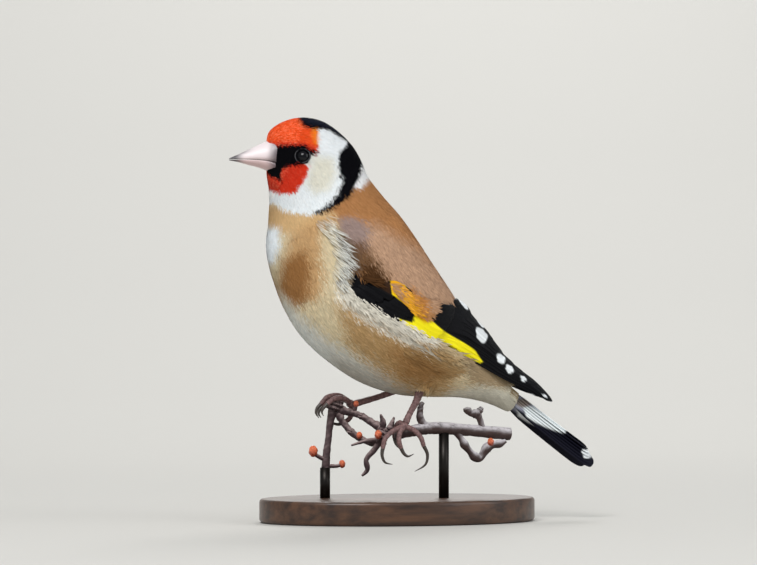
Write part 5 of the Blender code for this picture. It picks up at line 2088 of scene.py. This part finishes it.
            # Painted light: faces turned up get the lit bark colour, faces turned down the shaded
            # one.
            high = float(ease(-0.1, 0.75, vert.normal.z))
            top = left_lit * (1 - right) + right_lit * right
            low = left_shaded * (1 - right) + right_shaded * right
            tint = low * (1 - high) + top * high
            vert[colour] = opaque(tint)
        self.from_bmesh(name, work, finish, nodes, "bark")


@dataclass(frozen=True)
class StandSizes:
    """The plain display stand."""

    half: tuple = (36.0, 25.0)
    x: float = -2.0
    thick: float = 6.0
    bevel: float = 0.9
    rod_r: float = 1.3
    rods: tuple = (("stand_rod_front", -20.2, 3.7, 12.9),
                   ("stand_rod_rear", 8.8, -4.85, 21.7))
    rod_sunk: float = 0.2
    rod_reach: float = 0.8


class StandBuilder(Builder):
    """Oval base and two rods."""

    def __init__(self, finishes: Finishes, sizes: StandSizes) -> None:
        """Keep the sizes."""
        super().__init__(finishes)
        self.sizes = sizes

    def build(self) -> None:
        """Make the base and its rods."""
        sizes = self.sizes
        work = bmesh.new()
        bmesh.ops.create_cone(work, cap_ends=True, segments=128, radius1=1.0, radius2=1.0,
                              depth=sizes.thick * MM)
        for vert in work.verts:
            vert.co.x = world(np.array([sizes.x + vert.co.x * sizes.half[0], 0, 0]))[0]
            vert.co.y *= sizes.half[1] * MM
            vert.co.z += sizes.thick / 2 * MM
        rims = [edge for edge in work.edges
                if abs(edge.verts[0].co.z - edge.verts[1].co.z) < 1e-7]
        bmesh.ops.bevel(work, geom=rims, offset=sizes.bevel * MM, segments=4, profile=0.5,
                        affect="EDGES", material=-1)
        self.from_bmesh("stand_base_wood", work, "wood", ("stand_base",), "base_wood")
        for name, x, y, top in sizes.rods:
            work = bmesh.new()
            low = sizes.thick - sizes.rod_sunk
            top = top + sizes.rod_reach
            bmesh.ops.create_cone(work, cap_ends=True, segments=32, radius1=sizes.rod_r * MM,
                                  radius2=sizes.rod_r * MM, depth=(top - low) * MM)
            middle = world(np.array([x, y, (top + low) / 2]))
            bmesh.ops.translate(work, vec=Vector(middle), verts=work.verts)
            self.from_bmesh(name + "_metal", work, "rod", (name,), "rod_metal")


@dataclass(frozen=True)
class StudioSizes:
    """Floor, lights and camera, in metres and watts."""

    distance: float = 1.2
    frame_width: float = 0.193
    look: tuple = (-0.00676, 0.0608)
    azimuth: float = 18.0
    floor: float = 1.6
    sweep_from: float = 0.45
    sweep: float = 1.6
    room: float = 0.55
    lights: tuple = (
        ("Key softbox", (-0.50, -0.70, 0.95), 0.60, 10.0),
        ("Fill softbox", (0.75, -0.60, 0.45), 0.70, 2.6),
        ("Rim softbox", (0.35, 0.80, 0.75), 0.50, 5.0),
    )


class Studio:
    """A pale floor, soft lights and the camera at the photograph's angle."""

    # The floor lies this far under the base, so that the two do not flicker.
    FLOOR_GAP = 0.0001

    def __init__(self, sizes: StudioSizes) -> None:
        """Keep the sizes."""
        self.sizes = sizes

    def build(self) -> None:
        """Set the stage."""
        self._floor()
        self._lights()
        self._camera()

    def _floor(self) -> None:
        """A floor that sweeps up far behind the bird."""
        sizes = self.sizes
        work = bmesh.new()
        made = bmesh.ops.create_grid(work, x_segments=40, y_segments=40,
                                     size=sizes.floor)
        for vert in made["verts"]:
            back = max(vert.co.y - sizes.sweep_from, 0.0)
            vert.co.z = back ** 2 * sizes.sweep - self.FLOOR_GAP
        for face in work.faces:
            face.smooth = True
        mesh = bpy.data.meshes.new("studio_floor")
        work.to_mesh(mesh)
        work.free()
        # Matt and pale: a calm ground that takes a soft shadow.
        finish = Finish("Pale studio floor", "c9c7c2", rough=0.9, specular=0.2)
        mesh.materials.append(finish.make())
        floor = bpy.data.objects.new("studio_floor", mesh)
        bpy.context.scene.collection.objects.link(floor)

    def _lights(self) -> None:
        """Three softboxes turned to the bird and a little light from all round."""
        centre = Vector((0.0, 0.0, 0.06))
        for name, place, size, power in self.sizes.lights:
            data = bpy.data.lights.new(name, "AREA")
            data.energy = power
            data.size = size
            lamp = bpy.data.objects.new(name, data)
            lamp.location = place
            lamp.rotation_euler = (centre - Vector(place)).to_track_quat("-Z", "Y").to_euler()
            bpy.context.scene.collection.objects.link(lamp)
        world_data = bpy.data.worlds.new("Soft room")
        world_data.use_nodes = True
        shade = world_data.node_tree.nodes["Background"]
        shade.inputs["Color"].default_value = srgb("dfe3e6")
        shade.inputs["Strength"].default_value = self.sizes.room
        bpy.context.scene.world = world_data
        bpy.context.scene.view_settings.view_transform = "Standard"

    def _camera(self) -> None:
        """A level camera with a long lens, as the photograph was taken."""
        sizes = self.sizes
        turn = math.radians(sizes.azimuth)
        right = Vector((math.cos(turn), -math.sin(turn), 0.0))
        ahead = Vector((math.sin(turn), math.cos(turn), 0.0))
        target = right * sizes.look[0] + Vector((SHIFT_X * MM, 0.0, sizes.look[1]))
        data = bpy.data.cameras.new("Side view camera")
        data.sensor_width = 36.0
        data.lens = 36.0 * sizes.distance / sizes.frame_width
        data.clip_end = 20.0
        camera = bpy.data.objects.new("Side view camera", data)
        camera.location = target - ahead * sizes.distance
        camera.rotation_euler = ahead.to_track_quat("-Z", "Y").to_euler()
        bpy.context.scene.collection.objects.link(camera)
        bpy.context.scene.camera = camera


@dataclass(frozen=True)
class CoatPlan:
    """Every coat piece, from the face to the vent.

    The outlines are in side-view steps. Tips keep inside drape, edge_band and fringe,
    and stay out of over_tail, under_wing and bill.
    """

    drape: tuple = (
        330, 200, 440, 200, 452, 284, 452, 297, 449, 305, 443, 305, 437, 307, 436, 311, 432, 316,
        429, 319, 424, 316, 416, 311, 411, 304, 405, 300, 399, 290, 393, 279, 390, 280, 386, 287,
        377, 283, 367, 275, 359, 265, 350, 252, 340, 235)
    over_tail: tuple = (
        515, 384, 519, 382, 530, 392, 560, 420, 575, 465, 521, 425, 520, 413, 513, 404, 508, 396)
    edge_band: tuple = (
        346, 287, 354, 294, 380, 311, 400, 321.5, 420, 333, 440, 344.0, 460, 357, 476, 365,
        460, 366, 440, 356, 420, 344, 400, 334, 380, 323, 352, 304)
    fringe: tuple = (
        337, 218, 341, 228, 346, 236, 352, 242, 356, 250, 359, 258, 361, 270, 358, 276, 356, 282,
        353, 288, 354, 296, 344, 290, 341, 276, 344, 262, 340, 250, 332, 240, 325, 228)
    under_wing: tuple = (
        353, 273, 368, 284, 380, 292, 391, 297, 404, 306, 413, 311, 424, 316, 430, 319, 437, 309,
        452, 304, 458, 296, 488, 330, 531, 375, 558, 405, 545, 400, 510, 379, 480, 364, 460, 356,
        440, 343, 420, 328, 400, 315, 380, 307, 354, 290)
    bill: tuple = (
        220, 158, 266, 139, 272.5, 146, 276, 154, 280.5, 161, 280.5, 173.5, 262, 169)
    patches: tuple = (
        CoatPatch("coat_face", (0.15, 4.2), (0.0, math.pi), 10000, (1.2, 2.0), (0.12, 0.16),
                  fan=0.16, lift=(-COAT_DEPTH, -0.05), edge=0.4, streak=0.18, glint=0.30,
                  outside=(bill,)),
        CoatPatch("coat_crown", (4.0, 9.4), (0.0, math.pi), 11000, (1.8, 2.8), (0.17, 0.28),
                  fan=0.16, lift=(-COAT_DEPTH, -0.06), edge=0.5, streak=0.06, glint=0.05),
        CoatPatch("coat_neck", (8.6, 12.2), (0.0, math.pi), 9500, (2.8, 4.0), (0.26, 0.40),
                  lift=(-COAT_DEPTH, 0.0), edge=0.9, streak=0.08, glint=0.06,
                  outside=(under_wing,)),
        CoatPatch("coat_breast", (11.4, 15.4), (1.35, math.pi), 9500, (4.0, 5.2),
                  (0.36, 0.46), fan=0.13, edge=2.2, streak=0.12, glint=0.12,
                  outside=(under_wing,)),
        CoatPatch("coat_belly", (14.9, 18.6), (1.45, math.pi), 9000, (4.6, 5.4),
                  (0.36, 0.46), fan=0.14, edge=2.6, streak=0.15, glint=0.18,
                  outside=(under_wing,)),
        CoatPatch("coat_mantle", (11.4, 15.6), (0.0, 1.75), 9000, (4.2, 5.6), (0.42, 0.6),
                  fan=0.13, lift=(-COAT_DEPTH, 0.05), edge=1.2, streak=0.12, glint=0.09,
                  outside=(under_wing,)),
        CoatPatch("coat_rump", (15.2, 19.9), (0.0, 1.6), 5000, (3.8, 3.4), (0.45, 0.4),
                  fan=0.13, edge=1.6, outside=(under_wing, over_tail)),
        CoatPatch("coat_vent", (18.0, 20.95), (1.2, math.pi), 5500, (4.2, 4.8), (0.4, 0.34),
                  fan=0.13, edge=1.4, streak=0.08, outside=(under_wing, over_tail)),
        CoatPatch("coat_scapulars", (0.3, 4.6), (0.2, 0.95), 4200, (4.0, 4.8),
                  (0.42, 0.52), fan=0.13, lift=(0.3, 1.5), edge=0.8, streak=0.12, glint=0.09,
                  loose=0.15, inside=drape, shape="wing"),
        CoatPatch("coat_wing_edge", (12.4, 17.2), (1.25, 2.1), 3000, (3.2, 4.0),
                  (0.24, 0.34), fan=0.10, lift=(-0.5, 1.25), heading=-0.10, edge=0.6,
                  streak=0.12, loose=0.3, nudge=(-1.0, 5.0), inside=edge_band),
        CoatPatch("coat_breast_fringe", (9.8, 14.0), (1.2, 2.3), 1700, (3.6, 4.6),
                  (0.13, 0.16), fan=0.12, lift=(-0.5, 1.3), heading=-0.35, edge=0.6,
                  streak=0.16, jitter=0.1, loose=0.4, tone="eef1ec", inside=fringe),
        CoatPatch("coat_flank_fringe", (15.4, 17.0), (1.35, 1.95), 900, (5.0, 6.0),
                  (0.20, 0.26), fan=0.14, lift=(-0.5, 0.7), heading=-0.25, edge=1.0,
                  read=0.3, streak=0.12, jitter=0.12, loose=0.7, outside=(under_wing,)),
        CoatPatch("coat_thigh_left", (0.0, 1.1), (0.0, math.pi), 360, (2.4, 1.6),
                  (0.36, 0.30), lift=(-0.6, -0.2), edge=1.0, shape="thigh_left"),
        CoatPatch("coat_thigh_right", (0.0, 1.2), (0.0, math.pi), 360, (2.4, 1.8),
                  (0.36, 0.30), lift=(-0.6, -0.2), edge=1.0, shape="thigh_right"),
    )


class Goldfinch:
    """The whole model."""

    def __init__(self) -> None:
        """Make what the pieces share: finishes, the body's shape and the markings."""
        self.palette = Palette()
        self.finishes = Finishes()
        self.view = SideView()
        self.body = BodyForm(BodySizes(), self.view)
        self.marks = Markings(self.palette)
        self.wing_marks = WingMarkings(self.palette)
        self.eyes = EyeSizes()
        self.wing = WingSizes()
        self.legs = LegSizes()

    def build(self) -> None:
        """Make every piece."""
        SkinBuilder(self.finishes, self.body, self.marks, self.eyes).build()
        shapes = {
            "body": self.body,
            "wing": WingForm(self.wing, self.view),
            "thigh_left": ThighForm(self.legs.thigh_left, self.view),
            "thigh_right": ThighForm(self.legs.thigh_right, self.view),
        }
        coat = CoatBuilder(self.finishes, shapes, self.marks, self.eyes)
        for patch in CoatPlan().patches:
            coat.build(patch)
        wings = WingBuilder(self.finishes, self.wing_marks, self.view, self.wing)
        for side in Side:
            wings.build(side)
        TailBuilder(self.finishes, self.wing_marks, self.view).build(TailSizes())
        BillBuilder(self.finishes, self.body, BillSizes(), self.palette).build()
        eyes = EyeBuilder(self.finishes, self.body, self.eyes)
        for side in Side:
            eyes.build(side)
        LegBuilder(self.finishes, self.legs).build()
        PerchBuilder(self.finishes, PerchSizes(), self.palette).build()
        StandBuilder(self.finishes, StandSizes()).build()


def main() -> None:
    """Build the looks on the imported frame."""
    Goldfinch().build()
    Studio(StudioSizes()).build()


if __name__ == "__main__":
    main()
